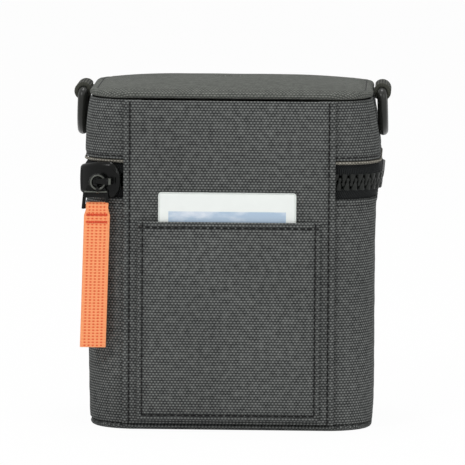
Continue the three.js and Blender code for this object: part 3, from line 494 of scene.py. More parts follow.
def box_between(name: str, low: Vector, high: Vector, bevel: float = 0.0) -> Piece:
    """Make a box between two corners.

    Args:
        name: The piece's name.
        low: The lowest corner.
        high: The highest corner.
        bevel: Radius of its edges.

    Returns:
        The piece.
    """
    piece = new_shape(name, bpy.ops.mesh.primitive_cube_add, size=1)
    piece.dimensions = high - low
    piece.location = (low + high) / 2
    settle(piece)
    if bevel:
        finish_with(piece, "BEVEL", width=bevel, segments=3)
    return piece


def sweep(name: str, path: Sequence[Vector], radius: float, closed: bool = True, sides: int = 16) -> Piece:
    """Bend a round wire along a flat path.

    Args:
        name: The piece's name.
        path: The wire's middle line, all in one plane.
        radius: The wire's radius.
        closed: Whether the path returns to its start. An open wire gets flat ends.
        sides: Faces round the wire.

    Returns:
        The piece, not dressed yet.
    """
    count = len(path)
    plane = (path[count // 3] - path[0]).cross(path[2 * count // 3] - path[0]).normalized()
    steps = count if closed else count - 1

    def place(u: float, v: float) -> Point:
        """Find a point of the wire's skin.

        Args:
            u: Share round the wire.
            v: Share along the path.

        Returns:
            The point.
        """
        index = round(v * steps)
        here = path[index % count]
        before = path[(index - 1) % count] if closed or index > 0 else here
        after = path[(index + 1) % count] if closed or index < count - 1 else here
        out = (after - before).normalized().cross(plane)
        turn = math.tau * u
        return tuple(here + (out * math.cos(turn) + plane * math.sin(turn)) * radius)

    wire = lay_grid(name, sides, steps, place)
    merge(wire)
    if not closed:
        edit_mesh(wire, close_holes, face_outward)
    soften(wire, 50)
    return wire


def arc(centre: Vector, radius: float, start: float, end: float, steps: int,
        flat: str = "xz") -> list[Vector]:
    """List the points of an arc, with angles in degrees from the first axis toward the second.

    Args:
        centre: The arc's centre.
        radius: Its radius.
        start: Angle of the first point.
        end: Angle of the last point.
        steps: Stretches between points.
        flat: The two axes of the arc's plane, such as xz.

    Returns:
        The points, both ends included.
    """
    first, second = ("xyz".index(letter) for letter in flat)
    points = []
    for step in range(steps + 1):
        angle = math.radians(start + (end - start) * step / steps)
        point = centre.copy()
        point[first] += radius * math.cos(angle)
        point[second] += radius * math.sin(angle)
        points.append(point)
    return points


def lengths_along(path: Sequence[Sequence[float]]) -> list[float]:
    """Measure a path.

    Args:
        path: Its points.

    Returns:
        The distance from the start to each point.
    """
    lengths = [0.0]
    for here, there in zip(path, path[1:]):
        lengths.append(lengths[-1] + math.dist(here, there))
    return lengths


def between(share: float, shares: Sequence[float], values: Sequence[float]) -> float:
    """Value at a share, straight between the rows of a table."""
    return float(np.interp(share, shares, values))


def groove(distance: float, width: float = 0.45 * MM) -> float:
    """How deep a sewn groove is at a distance from its middle, as a share."""
    return math.exp(-((distance / width) ** 2))


def fold(distance: float, radius: float = 0.7 * MM) -> float:
    """How much a turned edge curls in at a distance from it, as a share."""
    return max(0.0, 1 - distance / radius) ** 2


def rings_with_floor(edge: Sequence[tuple[float, float]], height: float, rows: int) -> list[Ring]:
    """List the rings of a skin that ends in a flat floor or ceiling.

    Args:
        edge: Height and inset of each ring of the wall.
        height: The floor's height.
        rows: Rings of the floor.

    Returns:
        The rings, each with its share of the outline's size.
    """
    inner = edge[-1][1]
    walls = [(z, inset, 1.0) for z, inset in edge]
    return walls + [(height, inner, 1 - (i + 1) / rows) for i in range(rows)]


@dataclass(frozen=True)
class Ripple:
    """Shallow waves in cloth, with radians a metre and a start in radians each way."""

    height: float
    across: float
    up: float
    across_start: float = 0.0
    up_start: float = 0.0

    def at(self, x: float, y: float) -> float:
        """Height of the waves at a place on the cloth."""
        wave = math.sin(x * self.across + self.across_start)
        return self.height * wave * math.sin(y * self.up + self.up_start)


# Finishes


class Wiring:
    """A node tree being put together."""

    def __init__(self, tree: bpy.types.NodeTree) -> None:
        """Keep the tree to add to."""
        self.tree = tree

    def add(self, kind: str, inputs: dict[str | int, object] | None = None,
            **settings: object) -> bpy.types.Node:
        """Add a node.

        Args:
            kind: Blender's name of the node, without its ShaderNode prefix.
            inputs: Values or sockets for its inputs, by name or number.
            settings: Its other settings.

        Returns:
            The node.
        """
        node = self.tree.nodes.new("ShaderNode" + kind)
        for name, value in settings.items():
            setattr(node, name, value)
        for name, value in (inputs or {}).items():
            if isinstance(value, Socket):
                self.tree.links.new(value, node.inputs[name])
            else:
                node.inputs[name].default_value = value
        return node

    def work(self, operation: str, first: object, second: object = 0.0, third: object = 0.0) -> Socket:
        """Add a Math node and return its result."""
        return self.add("Math", {0: first, 1: second, 2: third}, operation=operation).outputs[0]

    def seen(self) -> Socket:
        """Tell rays that show a surface, directly, in gloss or through glass, from those that only light.

        Returns:
            1 for rays that show it, 0 for the others.
        """
        ray = self.add("LightPath")
        shown = self.work("MAXIMUM", ray.outputs["Is Camera Ray"], ray.outputs["Is Glossy Ray"])
        return self.work("MAXIMUM", shown, ray.outputs["Is Transmission Ray"])


class Recipe(Wiring):
    """A material being put together from nodes."""

    def __init__(self, name: str) -> None:
        """Start an empty material with a Principled shader.

        Args:
            name: The material's name.
        """
        self.material = bpy.data.materials.new(name)
        self.material.use_nodes = True
        super().__init__(self.material.node_tree)
        self.shader = self.tree.nodes["Principled BSDF"]

    def wave(self, along: Socket, pitch: float) -> Socket:
        """Add a cosine wave of a pitch in metres and return it, from -1 to 1."""
        return self.work("COSINE", self.work("MULTIPLY", along, math.tau / pitch))

    def ribs(self, along: Socket, pitch: float) -> Socket:
        """Add a cosine wave of a pitch in metres and return it, from 0 to 1."""
        return self.work("MULTIPLY_ADD", self.wave(along, pitch), 0.5, 0.5)

    def uv(self) -> tuple[Socket, Socket, Socket]:
        """Read the piece's own map.

        Returns:
            Metres across and up on the cloth, and both as one vector.
        """
        place = self.add("TexCoord").outputs["UV"]
        parts = self.add("SeparateXYZ", {0: place})
        return parts.outputs[0], parts.outputs[1], place

    def spot(self) -> Socket:
        """Place on the object."""
        return self.add("TexCoord").outputs["Object"]

    def noise(self, place: Socket, scale: float, detail: float = 3.0, roughness: float = 0.5) -> Socket:
        """Add a noise and return its strength."""
        inputs = {"Vector": place, "Scale": scale, "Detail": detail, "Roughness": roughness}
        return self.add("TexNoise", inputs).outputs[0]

    def roughen(self, value: Socket, place: Socket, scale: float, share: float) -> Socket:
        """Add a share of a noise, from minus a half to a half, to a value and return the sum."""
        noise = self.work("SUBTRACT", self.noise(place, scale, 2), 0.5)
        return self.work("MULTIPLY_ADD", noise, share, value)

    def ramp(self, factor: Socket, *stops: tuple[float, Colour]) -> Socket:
        """Add a colour ramp.

        Args:
            factor: What the ramp reads.
            stops: Place and colour of each stop, at least two.

        Returns:
            The ramp's colour.
        """
        node = self.add("ValToRGB", {0: factor})
        elements = node.color_ramp.elements
        while len(elements) < len(stops):
            elements.new(0.5)
        for element, (at, colour) in zip(elements, stops):
            element.position = at
            element.color = (*colour, 1)
        return node.outputs[0]

    def blend_colours(self, factor: object, first: object, second: object, kind: str = "MIX") -> Socket:
        """Mix two colours.

        Args:
            factor: Share of the second.
            first: A colour or a socket.
            second: A colour or a socket.
            kind: Blender's name of the way to mix them.

        Returns:
            The mixed colour.
        """
        node = self.add("Mix", {0: factor}, data_type="RGBA", blend_type=kind)
        for index, value in ((6, first), (7, second)):
            if isinstance(value, Socket):
                self.tree.links.new(value, node.inputs[index])
            else:
                node.inputs[index].default_value = (*value, 1)
        return node.outputs[2]

    def bump(self, height: Socket, depth: float, strength: float) -> Socket:
        """Add a bump of a depth in metres and return its normal."""
        return self.add("Bump", {"Height": height, "Distance": depth, "Strength": strength}).outputs[0]

    def give(self, **inputs: object) -> Material:
        """Set the shader's inputs.

        Args:
            inputs: Values or sockets by the input's name, with underscores for spaces.

        Returns:
            The material.
        """
        for name, value in inputs.items():
            socket = self.shader.inputs[name.replace("_", " ")]
            if isinstance(value, Socket):
                self.tree.links.new(value, socket)
            else:
                socket.default_value = (*value, 1) if isinstance(value, tuple) and len(value) == 3 else value
        return self.material


@dataclass(frozen=True)
class Canvas:
    """Canvas woven in light rows of staggered thread crowns, with dark gaps between the rows."""

    name: str = "canvas"
    crown: Colour = from_srgb(132, 134, 132)
    middle: Colour = from_srgb(80, 82, 81)
    gap: Colour = from_srgb(36, 37, 38)
    across: float = 1.32 * MM
    row: float = 1.03 * MM
    depth: float = 0.1 * MM
    row_share: float = 0.24
    crown_share: float = 0.28
    fibre: tuple[float, float] = (2600, 0.3)
    slub: tuple[float, float] = (420, 0.5)
    fade_scale: float = 28
    fades: tuple[float, float] = (0.88, 1.06)

    def make(self) -> Material:
        """Build the material.

        Returns:
            The material.
        """
        recipe = Recipe(self.name)
        u, v, place = recipe.uv()
        rows = recipe.wave(v, self.row)
        stagger = recipe.wave(v, self.row * 2)
        crowns = recipe.work("MULTIPLY", recipe.wave(u, self.across), stagger)
        weave = recipe.work("MULTIPLY_ADD", rows, self.row_share, 0.5)
        weave = recipe.work("MULTIPLY_ADD", crowns, self.crown_share, weave)
        lifted = recipe.roughen(weave, place, *self.fibre)
        lifted = recipe.roughen(lifted, place, *self.slub)
        colour = recipe.ramp(lifted, (0.12, self.gap), (0.5, self.middle), (1.0, self.crown))
        low, high = self.fades
        fade = recipe.noise(recipe.spot(), self.fade_scale, 3)
        shade = recipe.ramp(fade, (0.3, (low,) * 3), (0.7, (high,) * 3))
        colour = recipe.blend_colours(1.0, colour, shade, "MULTIPLY")
        return recipe.give(Base_Color=colour, Roughness=0.88, Normal=recipe.bump(lifted, self.depth, 0.8),
                           Specular_IOR_Level=0.08)


@dataclass(frozen=True)
class Webbing:
    """Ribbed webbing with dark spots in columns and rows, and plain edges."""

    name: str
    light: Colour
    dark: Colour
    rib: float
    pick: float
    half_width: float
    edge: float
    spots_on: bool = True
    rib_share: float = 0.75
    edge_share: float = 0.35
    fibre: tuple[float, float] = (1500, 0.5)
    depth: float = 0.16 * MM

    def make(self) -> Material:
        """Build the material.

        Returns:
            The material.
        """
        recipe = Recipe(self.name)
        u, v, place = recipe.uv()
        ribs, picks = recipe.ribs(u, self.rib), recipe.ribs(v, self.pick)
        inner = recipe.work("LESS_THAN", recipe.work("ABSOLUTE", u), self.half_width - self.edge)
        spotted = recipe.work("MULTIPLY_ADD", ribs, self.rib_share, 1 - self.rib_share)
        columns = spotted if self.spots_on else 1.0
        spots = recipe.work("MULTIPLY", recipe.work("MULTIPLY", columns, picks), inner)
        edge_picks = recipe.work("MULTIPLY", picks, recipe.work("SUBTRACT", 1.0, inner))
        spots = recipe.work("MULTIPLY_ADD", edge_picks, self.edge_share, spots)
        spots = recipe.roughen(spots, place, *self.fibre)
        height = recipe.work("SUBTRACT", 1.0, spots)
        colour = recipe.ramp(spots, (0.2, self.light), (0.85, self.dark))
        return recipe.give(Base_Color=colour, Roughness=0.75, Normal=recipe.bump(height, self.depth, 0.8),
                           Specular_IOR_Level=0.12)


@dataclass(frozen=True)
class RibbedTape:
    """Zip tape with fine ribs across its length."""

    name: str = "zip_tape"
    light: Colour = from_srgb(42, 44, 44)
    dark: Colour = from_srgb(20, 21, 22)
    rib: float = 0.8 * MM
    fibre: tuple[float, float] = (1800, 0.6)
    depth: float = 0.12 * MM

    def make(self) -> Material:
        """Build the material.

        Returns:
            The material.
        """
        recipe = Recipe(self.name)
        u, _, place = recipe.uv()
        ribs = recipe.roughen(recipe.ribs(u, self.rib), place, *self.fibre)
        return recipe.give(Base_Color=recipe.ramp(ribs, (0.1, self.dark), (0.95, self.light)), Roughness=0.8,
                           Normal=recipe.bump(ribs, self.depth, 0.8), Specular_IOR_Level=0.08)


@dataclass(frozen=True)
class Gloss:
    """Black enamel or moulded plastic, with a fine ripple and a few rubbed marks."""

    name: str
    colour: Colour
    wear_and_highlight: Colour
    roughness: float
    shine: float = 0.2
    ripple: float = 0.012 * MM
    ripple_scale: float = 650
    mark_scale: float = 900
    smear: float = 0.14
    smear_scale: float = 300

    def make(self) -> Material:
        """Build the material.

        Returns:
            The material.
        """
        recipe = Recipe(self.name)
        place = recipe.spot()
        marks = recipe.noise(place, self.mark_scale, 4, 0.7)
        colour = recipe.ramp(marks, (0.62, self.colour), (0.8, self.wear_and_highlight))
        smears = recipe.noise(place, self.smear_scale, 3)
        rough = recipe.work("MULTIPLY_ADD", smears, self.smear, self.roughness - self.smear / 2)
        normal = recipe.bump(recipe.noise(place, self.ripple_scale, 2), self.ripple, 0.6)
        return recipe.give(Base_Color=colour, Roughness=rough, Specular_IOR_Level=self.shine, Normal=normal)


@dataclass(frozen=True)
class Plain:
    """Plain lining, thread or card, with grain."""

    name: str
    colour: Colour
    grain: float
    depth: float
    contrast: float
    roughness: float = 0.85
    sheen: float = 0.1

    def make(self) -> Material:
        """Build the material.

        Returns:
            The material.
        """
        recipe = Recipe(self.name)
        grain = recipe.noise(recipe.spot(), self.grain, 4, 0.6)
        changes = (1 - self.contrast, 1 + self.contrast)
        low, high = (tuple(share * change for share in self.colour) for change in changes)
        return recipe.give(Base_Color=recipe.ramp(grain, (0.3, low), (0.7, high)), Roughness=self.roughness,
                           Normal=recipe.bump(grain, self.depth, 0.7), Sheen_Weight=self.sheen,
                           Specular_IOR_Level=0.3)


@dataclass(frozen=True)
class Picture:
    """The print's picture: a plain sky with soft clouds."""

    name: str = "print_picture"
    sky: Colour = from_srgb(150, 180, 216)
    haze: Colour = from_srgb(188, 207, 223)
    cloud: Colour = from_srgb(224, 232, 242)
    cloud_scale: float = 60
    flatness: float = 2.1
    clearing: tuple[float, float] = (9.0, -0.45)

    def make(self) -> Material:
        """Build the material.

        Returns:
            The material.
        """
        recipe = Recipe(self.name)
        place = recipe.add("Mapping", {"Vector": recipe.spot(), "Scale": (1, 1, self.flatness)}).outputs[0]
        puffs = recipe.noise(place, self.cloud_scale, 6, 0.55)
        height = recipe.add("SeparateXYZ", {0: recipe.spot()}).outputs[2]
        sky = recipe.blend_colours(recipe.work("MULTIPLY_ADD", height, *self.clearing), self.haze, self.sky)
        mask = recipe.ramp(puffs, (0.5, (0, 0, 0)), (0.66, (1, 1, 1)))
        return recipe.give(Base_Color=recipe.blend_colours(mask, sky, self.cloud), Roughness=0.22,
                           Coat_Weight=0.3, Coat_Roughness=0.1)


@dataclass(frozen=True)
class PaleFloor:
    """Pale studio floor that looks white to the camera and keeps the shadow."""

    name: str = "studio_floor"
    colour: Colour = (0.9, 0.9, 0.9)
    glow_share: float = 0.96

    def make(self) -> Material:
        """Build the material.

        Returns:
            The material.
        """
        recipe = Recipe(self.name)
        material = recipe.give(Base_Color=self.colour, Roughness=0.9, Specular_IOR_Level=0.1)
        share = recipe.work("MULTIPLY", recipe.seen(), self.glow_share)
        glow = recipe.add("Emission", {"Color": WHITE, "Strength": 1.0})
        mix = recipe.add("MixShader", {0: share, 1: recipe.shader.outputs[0], 2: glow.outputs[0]})
        recipe.tree.links.new(mix.outputs[0], recipe.tree.nodes["Material Output"].inputs[0])
        return material


class Finishes:
    """Every material of the case, made once."""

    def __init__(self) -> None:
        """Build the materials."""
        self.canvas = Canvas().make()
        self.top_canvas = Canvas(
            "top_canvas", from_srgb(128, 130, 125), from_srgb(92, 94, 90), from_srgb(58, 60, 57),
        ).make()
        # The hem edging's pale tones are painted light reflected up from the floor.
        self.trim = Canvas(
            "pale_edging", from_srgb(184, 180, 168), from_srgb(122, 119, 110), from_srgb(58, 57, 53),
            row=0.75 * MM,
        ).make()
        self.tape = RibbedTape().make()
        self.orange = Webbing(
            "orange_webbing", from_srgb(254, 166, 114), from_srgb(230, 92, 54), rib=1.63 * MM, pick=1.19 * MM,
            half_width=5.05 * MM, edge=1.0 * MM,
        ).make()
        self.orange_thread = Plain("orange_thread", from_srgb(222, 84, 50), 2500, 0.05 * MM, 0.2).make()
        self.black_webbing = Webbing(
            "black_webbing", from_srgb(70, 71, 64), from_srgb(16, 17, 17), rib=2.0 * MM, pick=0.9 * MM,
            half_width=10 * MM, edge=0.6 * MM, spots_on=False,
        ).make()
        self.enamel = Gloss("enamel", from_srgb(15, 16, 15), from_srgb(34, 35, 33), 0.2, 0.14).make()
        # Lighter enamel that paints highlights: the slider's nose bead and bridge foot, the frame's ridge and
        # the ring's crest.
        self.painted_highlight = Gloss("rubbed_enamel", from_srgb(84, 87, 80), from_srgb(128, 130, 124), 0.3, 0.4).make()
        # Lighter copy of the black enamel for the D-rings: painted highlight standing in for their soft
        # gloss.
        self.ring_enamel = Gloss("ring_enamel", from_srgb(36, 37, 34), from_srgb(62, 63, 59), 0.3, 0.3).make()
        self.teeth = Gloss("zip_teeth", from_srgb(31, 33, 31), from_srgb(48, 50, 46), 0.4).make()
        self.lining = Plain("lining", from_srgb(34, 35, 37), 1400, 0.12 * MM, 0.35).make()
        # Dark thread, made darker still as painted shade in the stitch grooves.
        self.thread = Plain("thread", from_srgb(20, 20, 21), 3000, 0.05 * MM, 0.3).make()
        self.card = Plain("print_card", from_srgb(240, 244, 241), 200, 0.004 * MM, 0.012, 0.3, 0.0).make()
        self.picture = Picture().make()


# Pieces


class Part(Protocol):
    """A part of the case that builds itself."""

    def build(self, finishes: Finishes) -> None:
        """Build and dress the part."""


def wall_normal(point: Vector) -> Vector:
    """Find the outward direction of the wall near a point, level with the floor.

    Args:
        point: The point.

    Returns:
        The direction.
    """
    inner_x = max(-OUTLINE.centre_x, min(OUTLINE.centre_x, point.x))
    inner_y = max(-OUTLINE.centre_y, min(OUTLINE.centre_y, point.y))
    away = Vector((point.x - inner_x, point.y - inner_y, 0))
    return away.normalized() if away.length > 1e-6 else Vector((0, -1, 0))


def toward_back(_: Vector) -> Vector:
    """Outward direction of the pocket and the webbing pull."""
    return Vector((0, -1, 0))


@dataclass(frozen=True)
class StitchLine:
    """A row of lockstitches laid on a surface."""

    pitch: float = 2.7 * MM
    length: float = 2.3 * MM
    thickness: float = 0.55 * MM
    flatness: float = 0.8

    def model(self) -> Piece:
        """Model one stitch along X, its top toward Z.

        Returns:
            The stitch.
        """
        add = bpy.ops.mesh.primitive_uv_sphere_add
        stitch = new_shape("stitch", add, segments=6, ring_count=5, radius=0.5)
        stitch.rotation_euler = (0, math.pi / 2, 0)
        settle(stitch)
        stitch.scale = (self.length, self.thickness, self.thickness * self.flatness)
        settle(stitch)
        return stitch

    def lay(self, name: str, path: Sequence[Vector], outward: Callable[[Vector], Vector],
            finish: Material, body: Body | None, slot: str = "canvas") -> Piece:
        """Lay stitches along a path, and dress them.

        Args:
            name: The piece's name.
            path: Points of the path, close together.
            outward: Gives the surface's outward direction at a point.
            finish: The thread's material.
            body: The body it rides on, or None for a piece between two bodies, which is left unattached.
            slot: The record's material slot.

        Returns:
            The row.
        """
        lengths = lengths_along(path)
        count = max(1, int(lengths[-1] / self.pitch))
        frames = []
        for number in range(count):
            middle = (number + 0.5) * lengths[-1] / count
            index = min(int(np.searchsorted(lengths, middle)), len(path) - 1)
            here, there = path[index - 1], path[index]
            share = (middle - lengths[index - 1]) / max(lengths[index] - lengths[index - 1], 1e-9)
            along = (there - here).normalized()
            across = outward(here).cross(along).normalized()
            turn = Matrix((along, across, along.cross(across))).transposed().to_4x4()
            frames.append(Matrix.Translation(here.lerp(there, share)) @ turn)
        row = copies_at(name, self.model(), frames)
        soften(row, 60)
        dress(row, finish, body, slot=slot)
        return row


@dataclass
class Band:
    """A wall of canvas over foam, round both sides and the front, between two seams."""

    name: str
    bottom: float
    top: float
    nodes: tuple[str, ...]
    body: Body
    stitch_height: float
    spread: tuple[tuple[float, float], ...]
    rows: int
    puff: float
    columns: int = 210
    overlap: float = 5 * MM
    cover_reach: float = 6 * MM
    drawn_reach: float = 5 * MM
    sewn: float = 0.4 * MM
    stitch_proud: float = 0.12 * MM
    curl: float = 0.8 * MM
    thickness: float = 1.0 * MM
    ripples: tuple[Ripple, Ripple] = (Ripple(0.1 * MM, 520, 210, 0, 1.3), Ripple(0.07 * MM, 1310, 730, 2, 0))

    def depth_in(self, along: float, z: float, edge: float) -> float:
        """Work out how far the cloth lies inside the plain wall.

        Args:
            along: Distance round the wall.
            z: Height.
            edge: Distance to the nearer end of the cloth.

        Returns:
            The depth.
        """
        nearest = min(z - self.bottom, self.top - z)
        drawn = math.exp(-nearest / self.drawn_reach)
        ripple = sum(waves.at(along, z) for waves in self.ripples)
        cover = min(1.0, max(0.0, edge - self.overlap) / self.cover_reach)
        sewn = groove(z - self.stitch_height) * self.sewn
        return (-self.puff * (1 - drawn) + ripple) * cover + sewn + self.curl * fold(nearest)

    def build(self, finishes: Finishes) -> None:
        """Build and dress the wall and its stitching.

        Args:
            finishes: The materials.
        """
        start = OUTLINE.along_back(PANEL_SEAM - self.overlap)
        end = OUTLINE.length - start
        shares, heights = zip(*self.spread)

        def level(v: float) -> float:
            """Height for a share up."""
            return between(v, shares, heights) * MM

        def inset(along: float, z: float) -> float:
            """Depth inward at a distance round the wall and a height."""
            return self.depth_in(along, z, min(along - start, end - along))

        band = lay_round(self.name, self.columns, self.rows, start, level, inset)
        thicken(band, self.thickness)
        soften(band, 50)
        dress(band, finishes.canvas, self.body, *self.nodes, slot="canvas")
        places = [start + (end - start) * i / 300 for i in range(301)]
        depth = self.sewn - self.stitch_proud
        path = [Vector(OUTLINE.wall(along, self.stitch_height, depth)) for along in places]
        StitchLine().lay(f"{self.name}_stitches_0", path, wall_normal, finishes.thread, self.body)


@dataclass
class BackPanel:
    """One strip of canvas up the back that spans the lid's hinge, creased there, with a stitch row along each
    edge.
    """

    half: float = 82.8 / 2 * MM
    bottom: float = 2.6 * MM
    top: float = 129.9 * MM
    level_at: float = 88 * MM
    outset: float = 1.5 * MM
    thickness: float = 0.9 * MM
    seam: float = 2.4 * MM
    seam_depth: float = 0.55 * MM
    stitch_depth: float = 0.22 * MM
    ridge: tuple[float, float, float] = (0.45 * MM, 1.1 * MM, 1.0 * MM)
    creases: tuple[float, float] = (94.6 * MM, 101.4 * MM)
    crease: tuple[float, float] = (0.16 * MM, 0.7 * MM)
    bow: tuple[float, float] = (0.25 * MM, 3 * MM)
    curl: float = 0.5 * MM
    side_curl_reach: float = 0.5 * MM
    edge_zone: float = 4.5 * MM
    end_zone: float = 2 * MM
    hinge_zone: tuple[float, float] = (89 * MM, 107 * MM)
    waves: Ripple = Ripple(0.06 * MM, 230, 170, 1)
    nodes: tuple[str, ...] = ("back_panel_lower", "back_panel_hinge", "back_panel_upper")
    hinge_low: Point = (0, -39.7 * MM, 91.8 * MM)
    hinge_high: Point = (0, -39.7 * MM, 104.8 * MM)

    def spot(self, x: float, z: float, out: float) -> Point:
        """Find a point of the panel at a distance left of the middle, a height and a distance out."""
        place = OUTLINE.wall(OUTLINE.along_back(x), self.level_at, -out, 0.0)
        return (place[0], place[1], z)

    def out_at(self, x: float, z: float) -> float:
        """Work out how far the cloth lies outside the plain wall.

        Args:
            x: Distance from the middle.
            z: Height.

        Returns:
            The distance.
        """
        side = self.half - abs(x)
        height, place, width = self.ridge
        ridge = height * groove(side - place, width)
        sewn = self.seam_depth * groove(side - self.seam)
        bent = sum(self.crease[0] * groove(z - fold_height, self.crease[1]) for fold_height in self.creases)
        bow = self.bow[0] * groove(z - sum(self.creases) / 2, self.bow[1])
        curl = self.curl * (fold(side, self.side_curl_reach) + fold(min(z - self.bottom, self.top - z)))
        return self.outset + ridge + bow + self.waves.at(x, z) - sewn - bent - curl

    def build(self, finishes: Finishes) -> None:
        """Build and dress the panel and its stitching.

        Args:
            finishes: The materials.
        """
        wide = 2 * self.half
        foot, head = self.bottom + self.end_zone, self.top - self.end_zone
        levels = (self.bottom, foot, *self.hinge_zone, head, self.top)

        def across(u: float) -> float:
            """Distance from the panel's edge for a share across."""
            return between(u, (0, 0.28, 0.72, 1), (0, self.edge_zone, wide - self.edge_zone, wide))

        def level(v: float) -> float:
            """Height for a share up."""
            return between(v, (0, 0.08, 0.35, 0.8, 0.94, 1), levels)

        def place(u: float, v: float) -> Point:
            """Point of the panel for a share across and a share up."""
            x, z = self.half - across(u), level(v)
            return self.spot(-x, z, self.out_at(x, z))

        def surface(u: float, v: float) -> Point:
            """Metres across and up on the cloth."""
            return (across(u), level(v), 0)

        panel = lay_grid("back_panel", 110, 130, place, surface)
        edit_mesh(panel, bpy.ops.mesh.flip_normals)
        thicken(panel, self.thickness)
        soften(panel, 50)
        dress(panel, finishes.canvas, None, *self.nodes, slot="canvas")
        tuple(self.hinge_low)
        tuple(self.hinge_high)
        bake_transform(panel)
        tall = self.top - self.bottom
        for side in Side:
            x = side.value * (self.half - self.seam)
            heights = [self.bottom + tall * i / 100 for i in range(101)]
            path = [Vector(self.spot(x, z, self.outset - self.stitch_depth)) for z in heights]
            name = f"panel_stitches_{side.name.lower()}"
            row = StitchLine().lay(name, path, wall_normal, finishes.thread, None)
            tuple(self.hinge_low)
            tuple(self.hinge_high)
            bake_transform(row)


@dataclass
class LidTop:
    """Padded top of canvas over foam, with a rolled rim and a stitch row inside it.

    Its heights, insets and waves are in millimetres.
    """

    rim: tuple[tuple[float, float], ...] = (
        (130.3, 2.0), (130.5, 1.1), (130.75, 0.35), (131.2, -0.1), (131.8, -0.25), (132.4, -0.1),
        (132.95, 0.35), (133.3, 1.0), (133.42, 1.7), (133.3, 2.3), (133.05, 2.75), (133.15, 3.2),
        (133.45, 3.8), (133.8, 4.6),
    )
    crown: float = 136.6
    crown_power: float = 2.6
    dome_rows: int = 30
    columns: int = 240
    stitch_inset: float = 2.75
    stitch_height: float = 133.1
    waves: Ripple = Ripple(0.12, 160, 190, 1)
    waves_growth: float = 6
    puckers: tuple[float, float, float] = (0.05, 400, 131)
    nodes: tuple[str, ...] = ("lid_top_canvas", "lid_top_foam")

    def levels(self) -> list[tuple[float, float, float, float]]:
        """List the top's rings.

        Returns:
            Height, inset, share of the outline's size and inset as measured over the cloth, ring by ring.
        """
        dome_from, dome_inset = self.rim[-1]
        flat = [dome_inset]
        for here, there in zip(self.rim[::-1], self.rim[-2::-1]):
            flat.append(flat[-1] - math.dist(here, there))
        rings = [(z, inset, 1.0, cloth) for (z, inset), cloth in zip(self.rim, flat[::-1])]
        for i in range(1, self.dome_rows + 1):
            share = 1 - i / self.dome_rows
            rise = (self.crown - dome_from) * (1 - share ** self.crown_power)
            rings.append((dome_from + rise, dome_inset, share, dome_inset))
        return rings

    def build(self, finishes: Finishes) -> None:
        """Build and dress the top and its stitching.

        Args:
            finishes: The materials.
        """
        flare = OUTLINE.flare(OUTLINE.top_seam)
        rings = self.levels()
        rows = len(rings) - 1

        def place(u: float, v: float) -> Point:
            """Find a point of the top.

            Args:
                u: Share round the outline.
                v: Share up the rim and in over the dome.

            Returns:
                The point.
            """
            z, inset, share, _ = rings[round(v * rows)]
            x, y, _ = OUTLINE.wall(OUTLINE.length * (1 - u), OUTLINE.top_seam, inset * MM, flare)
            wave = self.waves.at(x, y) * min(1.0, (1 - share) * self.waves_growth)
            height, count, lowest = self.puckers
            pucker = height * math.sin(u * count) if share == 1.0 and z > lowest else 0
            return (x * share, y * share, (z + wave + pucker) * MM)

        def surface(u: float, v: float) -> Point:
            """Find a place on the flat cloth.

            Args:
                u: Share round the outline.
                v: Share up the rim and in over the dome.

            Returns:
                Metres across and up.
            """
            _, _, share, cloth = rings[round(v * rows)]
            x, y, _ = OUTLINE.wall(OUTLINE.length * (1 - u), OUTLINE.top_seam, cloth * MM, flare)
            return (x * share, y * share, 0)

        top = lay_grid("lid_top", self.columns, rows, place, surface)
        merge(top)
        soften(top, 60)
        dress(top, finishes.top_canvas, Body.LID, *self.nodes, slot="canvas")
        path = []
        for i in range(301):
            x, y, _ = OUTLINE.wall(OUTLINE.length * i / 300, OUTLINE.top_seam, self.stitch_inset * MM, flare)
            path.append(Vector((x, y, self.stitch_height * MM)))
        StitchLine().lay("lid_top_stitches", path, lambda _: Vector((0, 0, 1)), finishes.thread, Body.LID)


@dataclass
class HemTrim:
    """Woven edging along the foot of the lid; its pale tone is painted light reflected up from the floor."""

    bottom: float = 105.2 * MM
    top: float = 106.45 * MM
    overlap: float = 2 * MM
    proud: float = 0.3 * MM
    thickness: float = 0.9 * MM
    foot_curl: tuple[float, float] = (0.6 * MM, 0.5 * MM)
    head_curl: tuple[float, float] = (0.25 * MM, 0.4 * MM)

    def build(self, finishes: Finishes) -> None:
        """Build and dress the edging.

        Args:
            finishes: The materials.
        """

        def level(v: float) -> float:
            """Height for a share up."""
            return self.bottom + (self.top - self.bottom) * v

        def inset(_: float, z: float) -> float:
            """Depth inward at a height."""
            foot = self.foot_curl[0] * fold(z - self.bottom, self.foot_curl[1])
            return foot + self.head_curl[0] * fold(self.top - z, self.head_curl[1]) - self.proud

        start = OUTLINE.along_back(PANEL_SEAM - self.overlap)
        trim = lay_round("lid_hem_edging", 200, 8, start, level, inset, self.bottom)
        thicken(trim, self.thickness)
        soften(trim, 50)
        dress(trim, finishes.trim, Body.LID, "lid_hem_trim", slot="trim")


